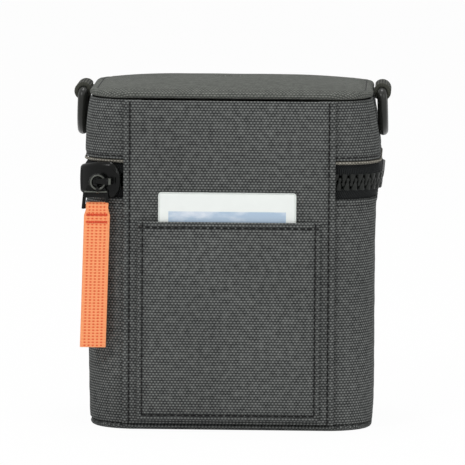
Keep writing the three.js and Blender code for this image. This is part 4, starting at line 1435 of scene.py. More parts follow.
@dataclass
class Base:
    """Flat base of canvas over a board. Its rounded edge up to the seam is in millimetres."""

    edge: tuple[tuple[float, float], ...] = (
        (4.5, 1.6), (2.6, 1.5), (2.15, 1.2), (2.0, 0.65), (1.75, 0.25), (1.3, 0.1), (0.8, 0.25), (0.35, 0.6),
        (0.08, 1.1), (0.0, 1.7),
    )
    columns: int = 200
    floor_rows: int = 12

    def build(self, finishes: Finishes) -> None:
        """Build and dress the base.

        Args:
            finishes: The materials.
        """
        flare = OUTLINE.flare(0)
        rings = rings_with_floor(self.edge, 0.0, self.floor_rows)
        rows = len(rings) - 1

        def spot(u: float, inset: float, share: float, z: float) -> Point:
            """Point at a share round, an inset, a share of the outline's size and a height."""
            x, y, _ = OUTLINE.wall(OUTLINE.length * u, 0, inset * MM, flare)
            return (x * share, y * share, z * MM)

        def place(u: float, v: float) -> Point:
            """Point of the base for a share round and a share in."""
            z, inset, share = rings[round(v * rows)]
            return spot(u, inset, share, z)

        def surface(u: float, v: float) -> Point:
            """Metres across and up on the cloth."""
            z, inset, share = rings[round(v * rows)]
            return spot(u, inset - z, share, 0)

        base = lay_grid("base_skin", self.columns, rows, place, surface)
        merge(base)
        soften(base, 60)
        dress(base, finishes.canvas, Body.CASE, "base_canvas", slot="canvas")


@dataclass
class FilmPocket:
    """Patch pocket of canvas, sewn to the panel down its sides and along its foot."""

    half: float = 71.6 / 2 * MM
    bottom: float = 3.9 * MM
    top: float = 82.6 * MM
    face: float = -43.0 * MM
    sewn_face: float = -41.9 * MM
    thickness: float = 0.95 * MM
    side_seam: float = 2.0 * MM
    foot_seam: float = 2.3 * MM
    hem_seam: float = 2.3 * MM
    seam_depth: float = 0.5 * MM
    hem_depth: float = 0.55 * MM
    stitch_depth: float = 0.2 * MM
    roll: tuple[float, float, float] = (0.2 * MM, 1 * MM, 0.8 * MM)
    margin: tuple[float, float, float] = (0.4 * MM, 0.9 * MM, 0.9 * MM)
    curl: float = 0.5 * MM
    curl_reach: float = 0.5 * MM
    swell_reach: float = 1.3 * MM
    fine_zone: float = 5 * MM
    waves: Ripple = Ripple(0.08 * MM, 190, 150, 2)

    def depth_at(self, x: float, z: float) -> float:
        """Work out where the cloth lies, front to back.

        Args:
            x: Distance from the pocket's middle.
            z: Height.

        Returns:
            Its y.
        """
        side, foot, head = self.half - abs(x), z - self.bottom, self.top - z
        inside = min(side - self.side_seam, foot - self.foot_seam)
        swell = 1 - math.exp(-max(0.0, inside) / self.swell_reach)
        sewn = self.seam_depth * (groove(side - self.side_seam) if foot > self.foot_seam else 0)
        sewn += self.seam_depth * (groove(foot - self.foot_seam) if side > self.side_seam else 0)
        height, place, width = self.roll
        hem = self.hem_depth * groove(head - self.hem_seam) - height * groove(head - place, width)
        height, place, width = self.margin
        margin = height * groove(min(side, foot) - place, width)
        curl = self.curl * (fold(min(side, foot), self.curl_reach) + fold(head, self.curl_reach))
        swollen = (self.face - self.sewn_face + self.waves.at(x, z)) * swell
        return self.sewn_face + swollen + sewn + hem - margin + curl

    def build(self, finishes: Finishes) -> None:
        """Build and dress the pocket.

        Args:
            finishes: The materials.
        """
        wide, tall, zone = 2 * self.half, self.top - self.bottom, self.fine_zone

        def across(u: float) -> float:
            """Distance from the pocket's edge for a share across."""
            return between(u, (0, 0.3, 0.7, 1), (0, zone, wide - zone, wide))

        def level(v: float) -> float:
            """Height for a share up."""
            return self.bottom + between(v, (0, 0.26, 0.74, 1), (0, zone, tall - zone, tall))

        def place(u: float, v: float) -> Point:
            """Point of the pocket for a share across and a share up."""
            x, z = across(u) - self.half, level(v)
            return (x, self.depth_at(x, z), z)

        def surface(u: float, v: float) -> Point:
            """Metres across and up on the cloth."""
            return (across(u), level(v), 0)

        pocket = lay_grid("pocket_face", 96, 100, place, surface)
        thicken(pocket, self.thickness)
        soften(pocket, 50)
        dress(pocket, finishes.canvas, Body.CASE, "film_pocket", "film_pocket_margin", slot="canvas")
        self.sew(finishes)

    def sew(self, finishes: Finishes) -> None:
        """Stitch the pocket round three sides, and its hem.

        Args:
            finishes: The materials.
        """
        x, y = self.half - self.side_seam, self.sewn_face + self.stitch_depth
        low = self.bottom + self.foot_seam
        corners = [Vector((side, y, z)) for side, z in ((-x, self.top), (-x, low), (x, low), (x, self.top))]
        path = [here.lerp(there, i / 60) for here, there in zip(corners, corners[1:]) for i in range(60)]
        path.append(corners[-1])
        StitchLine().lay("pocket_stitches", path, toward_back, finishes.thread, Body.CASE)
        y, z = self.face + self.stitch_depth, self.top - self.hem_seam
        path = [Vector((-self.half + 2 * self.half * i / 60, y, z)) for i in range(61)]
        StitchLine().lay("pocket_hem_stitches", path, toward_back, finishes.thread, Body.CASE)


@dataclass
class InstantPrint:
    """Print in the pocket: a white card with a picture on its face."""

    border_side: float = 4.0 * MM
    border_top: float = 7.5 * MM
    picture_height: float = 62 * MM
    corner: float = 1.2 * MM
    film: float = 0.03 * MM

    def round_corners(self, card: Piece) -> None:
        """Round a card's corners, as seen from the front.

        Args:
            card: The card, standing upright.
        """
        bpy.context.tool_settings.mesh_select_mode = (False, True, False)
        for edge in card.data.edges:
            ends = [card.data.vertices[i].co for i in edge.vertices]
            edge.select = abs(ends[0].y - ends[1].y) > 1e-7
        bpy.ops.object.mode_set(mode="EDIT")
        bpy.ops.mesh.bevel(offset=self.corner, segments=5)
        bpy.ops.object.mode_set(mode="OBJECT")
        bpy.context.tool_settings.mesh_select_mode = (True, False, False)

    def build(self, finishes: Finishes) -> None:
        """Build and dress the print.

        Args:
            finishes: The materials.
        """
        low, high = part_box("instant_print")
        card = box_between("print_card", low, high)
        self.round_corners(card)
        top = high.z - self.border_top
        picture = box_between(
            "print_picture",
            Vector((low.x + self.border_side, low.y - self.film, top - self.picture_height)),
            Vector((high.x - self.border_side, low.y + self.film, top)),
        )
        for piece, finish in ((card, finishes.card), (picture, finishes.picture)):
            piece.data.materials.append(finish)
        both = combine("print_card", [card, picture])
        soften(both, 30)
        dress(both, finishes.card, Body.PRINT, "instant_print", slot="print")


@dataclass
class Zip:
    """Tapes and interlocking moulded teeth. The widths of a tooth are in millimetres."""

    pitch: float = 3.4 * MM
    thickness: float = 2.4 * MM
    root: float = 3.2 * MM
    tip: float = 1.75 * MM
    widths: tuple[tuple[float, float], ...] = (
        (-1.75, 0.34), (-1.55, 0.56), (-1.15, 0.72), (-0.7, 0.7), (-0.1, 0.5), (0.5, 0.62), (1.2, 0.88),
        (2.2, 1.12), (3.2, 1.2),
    )
    model_width: float = 2 * MM
    flat_half: float = 0.62 * MM
    outer_from: float = 0.8 * MM
    outer_share: float = 0.72
    depths: tuple[tuple[float, float], ...] = ((-1.75, 0.5), (-1.2, 0.85), (0.2, 0.8), (1.2, 1.0))
    depth: float = 1.35 * MM
    lift: float = 1.6 * MM
    start_past_seam: float = 0.6 * MM
    end_under_panel: float = 4 * MM
    tape_below: tuple[float, float] = (88.2 * MM, 95.8 * MM)
    tape_above: tuple[float, float] = (101.0 * MM, 108.4 * MM)
    tape_overlap: float = 3 * MM
    tape_inset: float = 1.2 * MM
    tape: float = 0.7 * MM
    cord: tuple[float, float, float] = (0.45 * MM, 0.3 * MM, 0.6 * MM)

    def build(self, finishes: Finishes) -> None:
        """Build and dress the tapes and the teeth.

        Args:
            finishes: The materials.
        """
        upper_tape = ("zip_tape_upper", "zip_tape_upper_left")
        lower_teeth = ("zip_teeth_lower", "zip_teeth_lower_left", "zip_teeth_lower_right")
        upper_teeth = ("zip_teeth_upper", "zip_teeth_upper_left", "zip_teeth_upper_right")
        self.build_tape("zip_tape_below", self.tape_below, 1, Body.CASE, ("zip_tape_lower",), finishes)
        self.build_tape("zip_tape_above", self.tape_above, -1, Body.LID, upper_tape, finishes)
        self.build_row("zip_teeth_below", -1, Body.CASE, lower_teeth, finishes)
        self.build_row("zip_teeth_above", 1, Body.LID, upper_teeth, finishes)

    def build_tape(self, name: str, edges: tuple[float, float], chain_side: int, body: Body,
                   nodes: tuple[str, ...], finishes: Finishes) -> None:
        """Build one tape between two heights, with a corded edge under the teeth.

        Args:
            name: The tape's name.
            edges: Heights of its lower and upper edge.
            chain_side: 1 where the upper edge meets the teeth, -1 where the lower one does.
            body: The body it rides on.
            nodes: The nodes it stands for.
            finishes: The materials.
        """
        low, high = edges
        corded = high if chain_side > 0 else low
        height, place, width = self.cord

        def level(v: float) -> float:
            """Height for a share up."""
            return low + (high - low) * v

        def inset(_: float, z: float) -> float:
            """Depth inward at a height."""
            return self.tape_inset - height * groove(z - corded + chain_side * place, width)

        tape = lay_round(name, 220, 20, OUTLINE.along_back(PANEL_SEAM - self.tape_overlap), level, inset)
        thicken(tape, self.tape)
        soften(tape, 50)
        dress(tape, finishes.tape, body, *nodes, slot="zip_tape")

    def model_tooth(self) -> Piece:
        """Model one tooth of the upper row: X along the chain, Y outward, its round head toward -Z.

        Returns:
            The tooth.
        """
        half = Vector((self.model_width, self.thickness, 0)) / 2
        tooth = box_between("tooth", -half - Vector((0, 0, self.tip)), half + Vector((0, 0, self.root)))
        cuts = [((0, 0, height * MM), (0, 0, 1)) for height, _ in self.widths[1:-1]]
        cuts += [((x, 0, 0), (1, 0, 0)) for x in (-self.flat_half, self.flat_half)]
        for place, direction in cuts:
            edit_mesh(tooth, lambda: bpy.ops.mesh.bisect(plane_co=place, plane_no=direction))
        places = points_of(tooth)
        outer = np.abs(places[:, 0]) > self.outer_from
        heights, widths = zip(*self.widths)
        places[:, 0] *= np.interp(places[:, 2], np.array(heights) * MM, widths)
        heights, depths = zip(*self.depths)
        depths = np.interp(places[:, 2], np.array(heights) * MM, depths)
        places[:, 1] *= depths * np.where(outer, self.outer_share, 1.0)
        move_points(tooth, places)
        return tooth

    def build_row(self, name: str, side: int, body: Body, nodes: tuple[str, ...], finishes: Finishes) -> None:
        """Build one row of teeth.

        Args:
            name: The row's name.
            side: 1 for the lid's row, -1 for the case's.
            body: The body it rides on.
            nodes: The nodes it stands for.
            finishes: The materials.
        """
        start = OUTLINE.along_back(PANEL_SEAM + self.start_past_seam)
        end = OUTLINE.length - OUTLINE.along_back(PANEL_SEAM - self.end_under_panel)
        phase = self.pitch / 2 if side > 0 else 0.0
        count = int((end - start - phase - self.pitch / 2) / self.pitch)
        frames = []
        for number in range(count + 1):
            along = start + phase + (number + 0.5) * self.pitch
            above = Vector(OUTLINE.wall(along, OUTLINE.zip_height + self.lift, self.depth))
            below = Vector(OUTLINE.wall(along, OUTLINE.zip_height - self.lift, self.depth))
            here = (above + below) / 2
            up = (above - below).normalized() * side
            out = wall_normal(here)
            out = (out - up * out.dot(up)).normalized()
            turn = Matrix((out.cross(up), out, up)).transposed().to_4x4()
            frames.append(Matrix.Translation(here) @ turn)
        row = copies_at(name, self.model_tooth(), frames)
        soften(row, 55)
        dress(row, finishes.teeth, body, *nodes, slot="zip_teeth")


@dataclass
class Lining:
    """Lining cloth inside the case or the lid, turned over the foam. Its levels are in millimetres."""

    name: str
    body: Body
    levels: tuple[tuple[float, float], ...]
    nodes: tuple[str, ...]
    columns: int = 180
    floor_rows: int = 8
    turned_to: float = 3.4
    panel_step: float = 1.7
    panel_half: float = 36.6 * MM

    def build(self, finishes: Finishes) -> None:
        """Build and dress the lining.

        Args:
            finishes: The materials.
        """
        rings = rings_with_floor(self.levels, self.levels[-1][0], self.floor_rows)
        rows = len(rings) - 1
        behind_panel = OUTLINE.along_back(self.panel_half)

        def place(u: float, v: float) -> Point:
            """Find a point of the lining.

            Args:
                u: Share round the outline.
                v: Share from the turned edge to the middle of the floor.

            Returns:
                The point.
            """
            z, inset, share = rings[round(v * rows)]
            along = OUTLINE.length * u
            if inset < self.turned_to and min(along, OUTLINE.length - along) < behind_panel:
                inset -= self.panel_step
            flare = None if inset < self.turned_to else 0.0
            x, y, _ = OUTLINE.wall(along, z * MM, inset * MM, flare)
            return (x * share, y * share, z * MM)

        cloth = lay_grid(self.name, self.columns, rows, place, place)
        merge(cloth)
        soften(cloth, 60)
        dress(cloth, finishes.lining, self.body, *self.nodes, slot="lining")


@dataclass
class HingeLining:
    """Lining strip behind the hinge."""

    half: float = 39.5 * MM
    low: float = 91.0 * MM
    high: float = 105.6 * MM
    y: float = -38.75 * MM
    thickness: float = 0.5 * MM

    def build(self, finishes: Finishes) -> None:
        """Build and dress the strip.

        Args:
            finishes: The materials.
        """

        def place(u: float, v: float) -> Point:
            """Point of the strip for a share across and a share up."""
            return (-self.half + 2 * self.half * u, self.y, self.low + (self.high - self.low) * v)

        strip = lay_grid("hinge_strip", 20, 24, place, place)
        thicken(strip, self.thickness)
        dress(strip, finishes.lining, None, "hinge_lining", slot="lining")
        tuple(BackPanel.hinge_low)
        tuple(BackPanel.hinge_high)
        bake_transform(strip)


@dataclass
class StrapPull:
    """Orange webbing pull, folded round the pull frame's bar and sewn to itself."""

    pin: Vector
    width: float = 10.1 * MM
    pinch: float = 8.8 * MM
    pinch_from: float = 1.2 * MM
    thickness: float = 0.95 * MM
    bar: float = 0.75 * MM
    length: float = 57.2 * MM
    loop_length: float = 3.4 * MM
    ply_share: float = 0.52
    crown: float = 0.12 * MM
    sway: float = 0.25 * MM
    sway_waves: float = 75
    tilt: float = math.tan(math.radians(1.6))
    shift: float = 0.7 * MM
    edge_bevel: float = 0.2 * MM
    stitch_drops: tuple[float, ...] = (3.2 * MM, 6.1 * MM)
    stitch_margin: float = 0.9 * MM
    stitch_face_share: float = 1.04
    stitch_proud: float = 0.1 * MM
    stitches: StitchLine = StitchLine(0.8 * MM, 0.95 * MM, 1.1 * MM)

    def profile(self) -> list[tuple[float, float]]:
        """Draw the middle line of the webbing as seen from the side.

        Returns:
            Distance toward the back and height from the bar, point by point.
        """
        half = self.thickness * self.ply_share
        turn = self.bar + self.thickness / 2
        foot = turn + self.thickness / 2 - self.length
        low = -self.loop_length
        line = [(half, foot + (low - foot) * i / 30) for i in range(31)]
        for i in range(1, 7):
            share = i / 6
            ease = share * share * (3 - 2 * share)
            line.append((half + (turn - half) * ease, low * (1 - share)))
        under = len(line)
        line += [(turn * math.cos(math.pi * i / 12), turn * math.sin(math.pi * i / 12)) for i in range(1, 12)]
        return line + [(-back, height) for back, height in reversed(line[:under])]

    def sway_at(self, height: float) -> float:
        """How far the hanging webbing sways at a height from the bar."""
        return self.sway * math.sin((height + self.length) * self.sway_waves)

    def build(self, finishes: Finishes) -> None:
        """Build and dress the pull.

        Args:
            finishes: The materials.
        """
        line = self.profile()
        lengths = lengths_along(line)
        rows = len(line) - 1

        def place(u: float, v: float) -> Point:
            """Find a point of the webbing.

            Args:
                u: Share across.
                v: Share along the folded webbing.

            Returns:
                The point.
            """
            back, height = line[round(v * rows)]
            near = min(1.0, max(0.0, (height + self.loop_length) / (self.loop_length - self.pinch_from)))
            width = self.width + (self.pinch - self.width) * near
            crown = self.crown * (1 - (2 * u - 1) ** 2)
            x = self.pin.x + self.shift + (u - 0.5) * width + height * self.tilt
            y = self.pin.y + back + math.copysign(crown, back) + self.sway_at(height) * (1 - near)
            return (x, y, self.pin.z + height)

        def surface(u: float, v: float) -> Point:
            """Metres across and along the webbing."""
            return ((u - 0.5) * self.width, lengths[round(v * rows)], 0)

        strap = lay_grid("webbing_pull", 20, rows, place, surface)
        thicken(strap, self.thickness, 0)
        finish_with(strap, "BEVEL", width=self.edge_bevel, segments=2, limit_method="ANGLE")
        soften(strap, 60)
        dress(strap, finishes.orange, Body.STRAP, "pull_strap", slot="orange_webbing")
        self.sew(finishes)

    def sew(self, finishes: Finishes) -> None:
        """Stitch the two layers together under the bar.

        Args:
            finishes: The materials.
        """
        half = self.width / 2 - self.stitch_margin
        for number, drop in enumerate(self.stitch_drops):
            middle = self.pin.x + self.shift - drop * self.tilt
            y = self.pin.y - self.thickness * self.stitch_face_share - self.stitch_proud + self.sway_at(-drop)
            path = [Vector((middle + half * (i / 10 - 1), y, self.pin.z - drop)) for i in range(21)]
            name = f"pull_stitches_{number}"
            self.stitches.lay(name, path, toward_back, finishes.orange_thread, Body.STRAP, "orange_webbing")


@dataclass
class Slider:
    """Slider of two plates about the chain, joined by a post, with a bridge for the ring.

    Its angles are in degrees, from the middle of the back round the corner.
    """

    centre: Vector
    shift: float = 1.5 * MM
    face: float = 19.25 * MM
    back_face: float = 12.3 * MM
    plate: float = 1.1 * MM
    nose: float = 3.6
    tail: float = 53.0
    back_set: float = 6
    height: float = 12.4 * MM
    tail_height: float = 9.4 * MM
    back_share: float = 0.7
    nose_share: float = 0.2
    tip_share: float = 0.04
    bulge: float = 0.25 * MM
    rim_height: float = 0.22 * MM
    rim_place: float = 0.13
    rim_width: float = 0.09
    round_off: float = 0.55 * MM
    round_reach: float = 0.12
    edge_slopes: tuple[float, float, float] = (0.02, 5, 4)
    crowding: float = 1.7
    post_angle: float = 15.5
    post_radius: float = 1.0 * MM
    post_gap: float = 1.2 * MM
    bead_turns: tuple[float, float] = (-84, 62)
    bead_radius: float = 0.24 * MM
    bead_inset: float = 0.55 * MM
    bead_inset_share: float = 0.016
    bead_proud: float = 0.1 * MM
    bridge_start: float = 9.0
    bridge_length: float = 15.5
    bridge_foot: float = 4.4
    bridge_reach: float = 25.05 * MM
    bridge_bar: float = 1.0 * MM
    bridge_half: float = 1.4 * MM
    bridge_far_share: float = 0.6
    bridge_sunk: float = 0.2 * MM
    bridge_chamfer: float = 0.5 * MM
    bridge_bevel: float = 0.18 * MM
    highlight_depth: float = 0.6 * MM
    highlight_half: float = 1.0 * MM
    highlight_gap: float = 0.1
    dimple_shade_angle: float = 11.7
    dimple_shade_radius: float = 0.42 * MM
    dimple_shade_depth: float = 0.16 * MM
    dimple_shade_height: float = 0.45 * MM

    def spot(self, angle: float, reach: float, z: float) -> Point:
        """Find a place from its angle in degrees from the middle of the back, its radius and its height.

        Args:
            angle: The angle.
            reach: The radius.
            z: Height from the chain.

        Returns:
            The place.
        """
        turn = math.radians(angle)
        x = self.centre.x + self.shift - math.sin(turn) * reach
        return (x, self.centre.y - math.cos(turn) * reach, self.centre.z + z)

    def half_height(self, share: float) -> float:
        """Measure half the outer plate's height.

        Args:
            share: How far along the plate, from nose to tail.

        Returns:
            Half the height there.
        """
        nose = math.sqrt(max(0.0, 1 - (1 - min(share / self.nose_share, 1.0)) ** 2))
        full = self.height / 2 * max(self.tip_share, nose)
        return full + (self.tail_height - self.height) / 2 * max(0.0, (share - 0.5) / 0.5)

    def build_plate(self, name: str, reach: float, height_share: float, bulge: float, first: float) -> Piece:
        """Model a plate that follows the corner, with a raised rim.

        Args:
            name: The plate's name.
            reach: Radius of its outer face.
            height_share: Its share of the outer plate's height.
            bulge: How far its middle is domed outward.
            first: Angle of its nose.

        Returns:
            The plate.
        """

        def place(u: float, v: float) -> Point:
            """Find a point of the plate's face.

            Args:
                u: Share from nose to tail, closer together at the nose.
                v: Share up.

            Returns:
                The point.
            """
            along, side = u ** self.crowding, 2 * v - 1
            half = self.half_height(along) * height_share
            lip, nose, tail = self.edge_slopes
            edge = min(1 - abs(side) + lip, lip + along * nose, (1 - along) * tail)
            rim = self.rim_height * groove(edge - self.rim_place, self.rim_width)
            round_off = self.round_off * fold(edge, self.round_reach)
            out = reach + bulge * (1 - side * side) + rim - round_off
            return self.spot(first + (self.tail - first) * along, out, side * half)

        plate = lay_grid(name, 64, 48, place)
        faces_in = plate.data.polygons[0].normal.dot(Vector((-1, -1, 0))) < 0
        thicken(plate, self.plate, 1 if faces_in else -1)
        merge(plate)
        return plate

    def build_peg(self, name: str, radius: float, depth: float, angle: float, reach: float,
                  z: float) -> Piece:
        """Model a round peg that stands out from the corner.

        Args:
            name: The peg's name.
            radius: Its radius.
            depth: Its length.
            angle: Angle of its place.
            reach: Radius of its middle.
            z: Height from the chain.

        Returns:
            The peg.
        """
        peg = new_shape(name, bpy.ops.mesh.primitive_cylinder_add, vertices=20, radius=radius, depth=depth)
        out = Vector(self.spot(angle, 1.0, 0)) - Vector(self.spot(angle, 0.0, 0))
        peg.rotation_mode = "QUATERNION"
        peg.rotation_quaternion = out.to_track_quat("Z", "Y")
        peg.location = self.spot(angle, reach, z)
        settle(peg)
        return peg

    def build(self, finishes: Finishes) -> None:
        """Build and dress the slider.

        Args:
            finishes: The materials.
        """
        middle, gap = (self.face + self.back_face) / 2, self.face - self.back_face - self.post_gap
        parts = [
            self.build_plate("slider_plate", self.face, 1.0, self.bulge, self.nose),
            self.build_plate("slider_back", self.back_face + self.plate, self.back_share, 0.0,
                             self.nose + self.back_set),
            self.build_peg("slider_post", self.post_radius, gap, self.post_angle, middle, 0),
            self.build_bridge(),
        ]
        # A near-black disc in the lug's dimple: painted shade of the hollow.
        dimple_shade = self.build_peg("slider_rivet", self.dimple_shade_radius, self.dimple_shade_depth, self.dimple_shade_angle,
                               self.bridge_reach, self.dimple_shade_height)
        soften(dimple_shade, 40)
        dress(dimple_shade, finishes.thread, Body.SLIDER, slot="enamel")
        slider = combine("zip_slider", parts)
        soften(slider, 40)
        dress(slider, finishes.enamel, Body.SLIDER, "slider_body", slot="enamel")
        # Painted highlight on the outer end of the bridge's near foot.
        paint_highlight(slider, finishes.painted_highlight, self.on_foot)
        self.build_highlight_bead(finishes)

    def on_foot(self, middle: Vector, _: Vector) -> bool:
        """Say whether a face lies on the outer end of the bridge's near foot, where a highlight is painted.

        Args:
            middle: The face's middle.

        Returns:
            Whether it does.
        """
        x, y, z = middle.x - self.centre.x - self.shift, middle.y - self.centre.y, middle.z - self.centre.z
        angle, reach = math.degrees(math.atan2(-x, -y)), math.hypot(x, y)
        near = angle < self.bridge_start + self.bridge_foot - self.highlight_gap
        return reach > self.bridge_reach - self.highlight_depth and near and abs(z) < self.highlight_half

    def build_highlight_bead(self, finishes: Finishes) -> None:
        """Model the thin bead round the outer plate's nose, which carries a painted highlight.

        Args:
            finishes: The materials.
        """
        path = []
        for turn in np.radians(np.linspace(*self.bead_turns, 40)):
            share = self.nose_share * (1 - math.cos(turn)) + self.bead_inset_share
            angle = self.nose + (self.tail - self.nose) * share
            z = (self.height / 2 - self.bead_inset) * math.sin(turn)
            path.append(Vector(self.spot(angle, self.face + self.bead_proud, z)))
        rim = sweep("slider_rim", path, self.bead_radius, closed=False, sides=8)
        dress(rim, finishes.painted_highlight, Body.SLIDER, slot="enamel")

    def build_bridge(self) -> Piece:
        """Model the bridge: two feet on the plate and a bar over the ring's wire.

        Returns:
            The bridge.
        """
        low, high = self.face - self.bridge_sunk, self.bridge_reach
        bar, shoulder = high - self.bridge_bar, high - self.bridge_chamfer
        foot = self.bridge_foot / self.bridge_length
        ring = [(0, low), (0, shoulder), (0.1, high), (0.9, high), (1, shoulder), (1, low)]
        ring += [(1 - foot, low), (1 - foot, bar), (foot, bar), (foot, low)]
        count = len(ring)

        def place(u: float, v: float) -> Point:
            """Find a point of the bridge's skin.

            Args:
                u: Share round its outline.
                v: Share up.

            Returns:
                The point.
            """
            share, reach = ring[round(u * count) % count]
            half = self.bridge_half * (1.0 if share < 0.5 else self.bridge_far_share)
            return self.spot(self.bridge_start + self.bridge_length * share, reach, (2 * v - 1) * half)

        bridge = lay_grid("slider_bridge", count, 2, place)
        merge(bridge)
        edit_mesh(bridge, close_holes, bpy.ops.mesh.quads_convert_to_tris, face_outward)
        finish_with(bridge, "BEVEL", width=self.bridge_bevel, segments=2, limit_method="ANGLE")
        return bridge


@dataclass
class PullFrame:
    """Moulded frame between ring and webbing: an eye, a ridge, two slanted legs and a bar at the foot.

    Each block has half its width, depth in front of the plate, foot, head and bevel, in millimetres.
    """

    eye: Vector
    shift: float = 0.9 * MM
    plate_front: float = 1.0 * MM
    plate: float = 1.0 * MM
    blocks: tuple[tuple[str, float, float, float, float, float], ...] = (
        ("frame_bar", 5.3, 0.05, -7.7, -5.9, 0.4),
        ("frame_ridge", 4.5, 0.75, -1.5, -0.7, 0.25),
        ("frame_web", 4.7, -0.1, -3.3, -1.0, 0.2),
    )
    leg: tuple[float, float, float, float, float] = (0.7, 0.3, -7.8, -0.4, 0.35)
    leg_out: float = 4.75 * MM
    leg_slant: float = 0.75 * MM
    foot: float = -7.7 * MM
    top_foot: float = -1.4 * MM
    top_head: float = 1.75 * MM
    top_bevel: float = 0.25 * MM
    top_half: float = 4.9 * MM
    top_slant: float = 2.1 * MM
    top_slant_reach: float = 3.1 * MM
    eye_radius: float = 1.3 * MM
    eye_wire: float = 0.35 * MM
    eye_stretch: float = 1.8
    ridge_middle: float = -0.95 * MM
    ridge_half: float = 0.32 * MM
    ridge_front: float = 0.35 * MM

    def build_block(self, name: str, middle: float, *sizes: float) -> Piece:
        """Model one block of the frame.

        Args:
            name: Its name.
            middle: Its middle, sideways.
            sizes: Half its width, depth in front of the plate, foot, head and bevel, in millimetres.

        Returns:
            The block.
        """
        half, front, foot, head, bevel = (size * MM for size in sizes)
        y, z = self.eye.y + self.plate_front, self.eye.z
        low = Vector((middle - half, y - front, z + foot))
        return box_between(name, low, Vector((middle + half, y + self.plate, z + head)), bevel)

    def build(self, finishes: Finishes) -> None:
        """Build and dress the frame.

        Args:
            finishes: The materials.
        """
        x, y, z = self.eye.x - self.shift, self.eye.y + self.plate_front, self.eye.z
        parts = [self.build_block(name, x, *sizes) for name, *sizes in self.blocks]
        for side in Side:
            leg = self.build_block("frame_leg", 0.0, *self.leg)
            places = points_of(leg)
            shares = np.clip((places[:, 2] - z - self.foot) / -self.foot, 0, 1)
            places[:, 0] += x + side.value * (self.leg_out - self.leg_slant * shares ** 2)
            move_points(leg, places)
            parts.append(leg)
        low, high = Vector((-1, y, z + self.top_foot)), Vector((1, y + self.plate, z + self.top_head))
        upper = box_between("frame_top", low, high, self.top_bevel)
        places = points_of(upper)
        shares = np.clip((places[:, 2] - low.z) / self.top_slant_reach, 0, 1)
        places[:, 0] = x + np.sign(places[:, 0]) * (self.top_half - self.top_slant * shares)
        move_points(upper, places)
        circle = arc(self.eye, self.eye_radius, 0, 360, 24, "yz")[:-1]
        eye = sweep("frame_eye", circle, self.eye_wire)
        places = points_of(eye)
        places[:, 0] = self.eye.x + (places[:, 0] - self.eye.x) * self.eye_stretch
        move_points(eye, places)
        frame = combine("pull_frame_cast", [*parts, upper, eye])
        soften(frame, 45)
        dress(frame, finishes.enamel, Body.FRAME, "pull_frame", slot="enamel")
        ridge, front = z + self.ridge_middle, y - self.ridge_front

        def on_ridge(middle: Vector, _: Vector) -> bool:
            """Say whether a face lies on the ridge's front."""
            return abs(middle.z - ridge) < self.ridge_half and middle.y < front

        # Painted highlight along the ridge's front.
        paint_highlight(frame, finishes.painted_highlight, on_ridge)


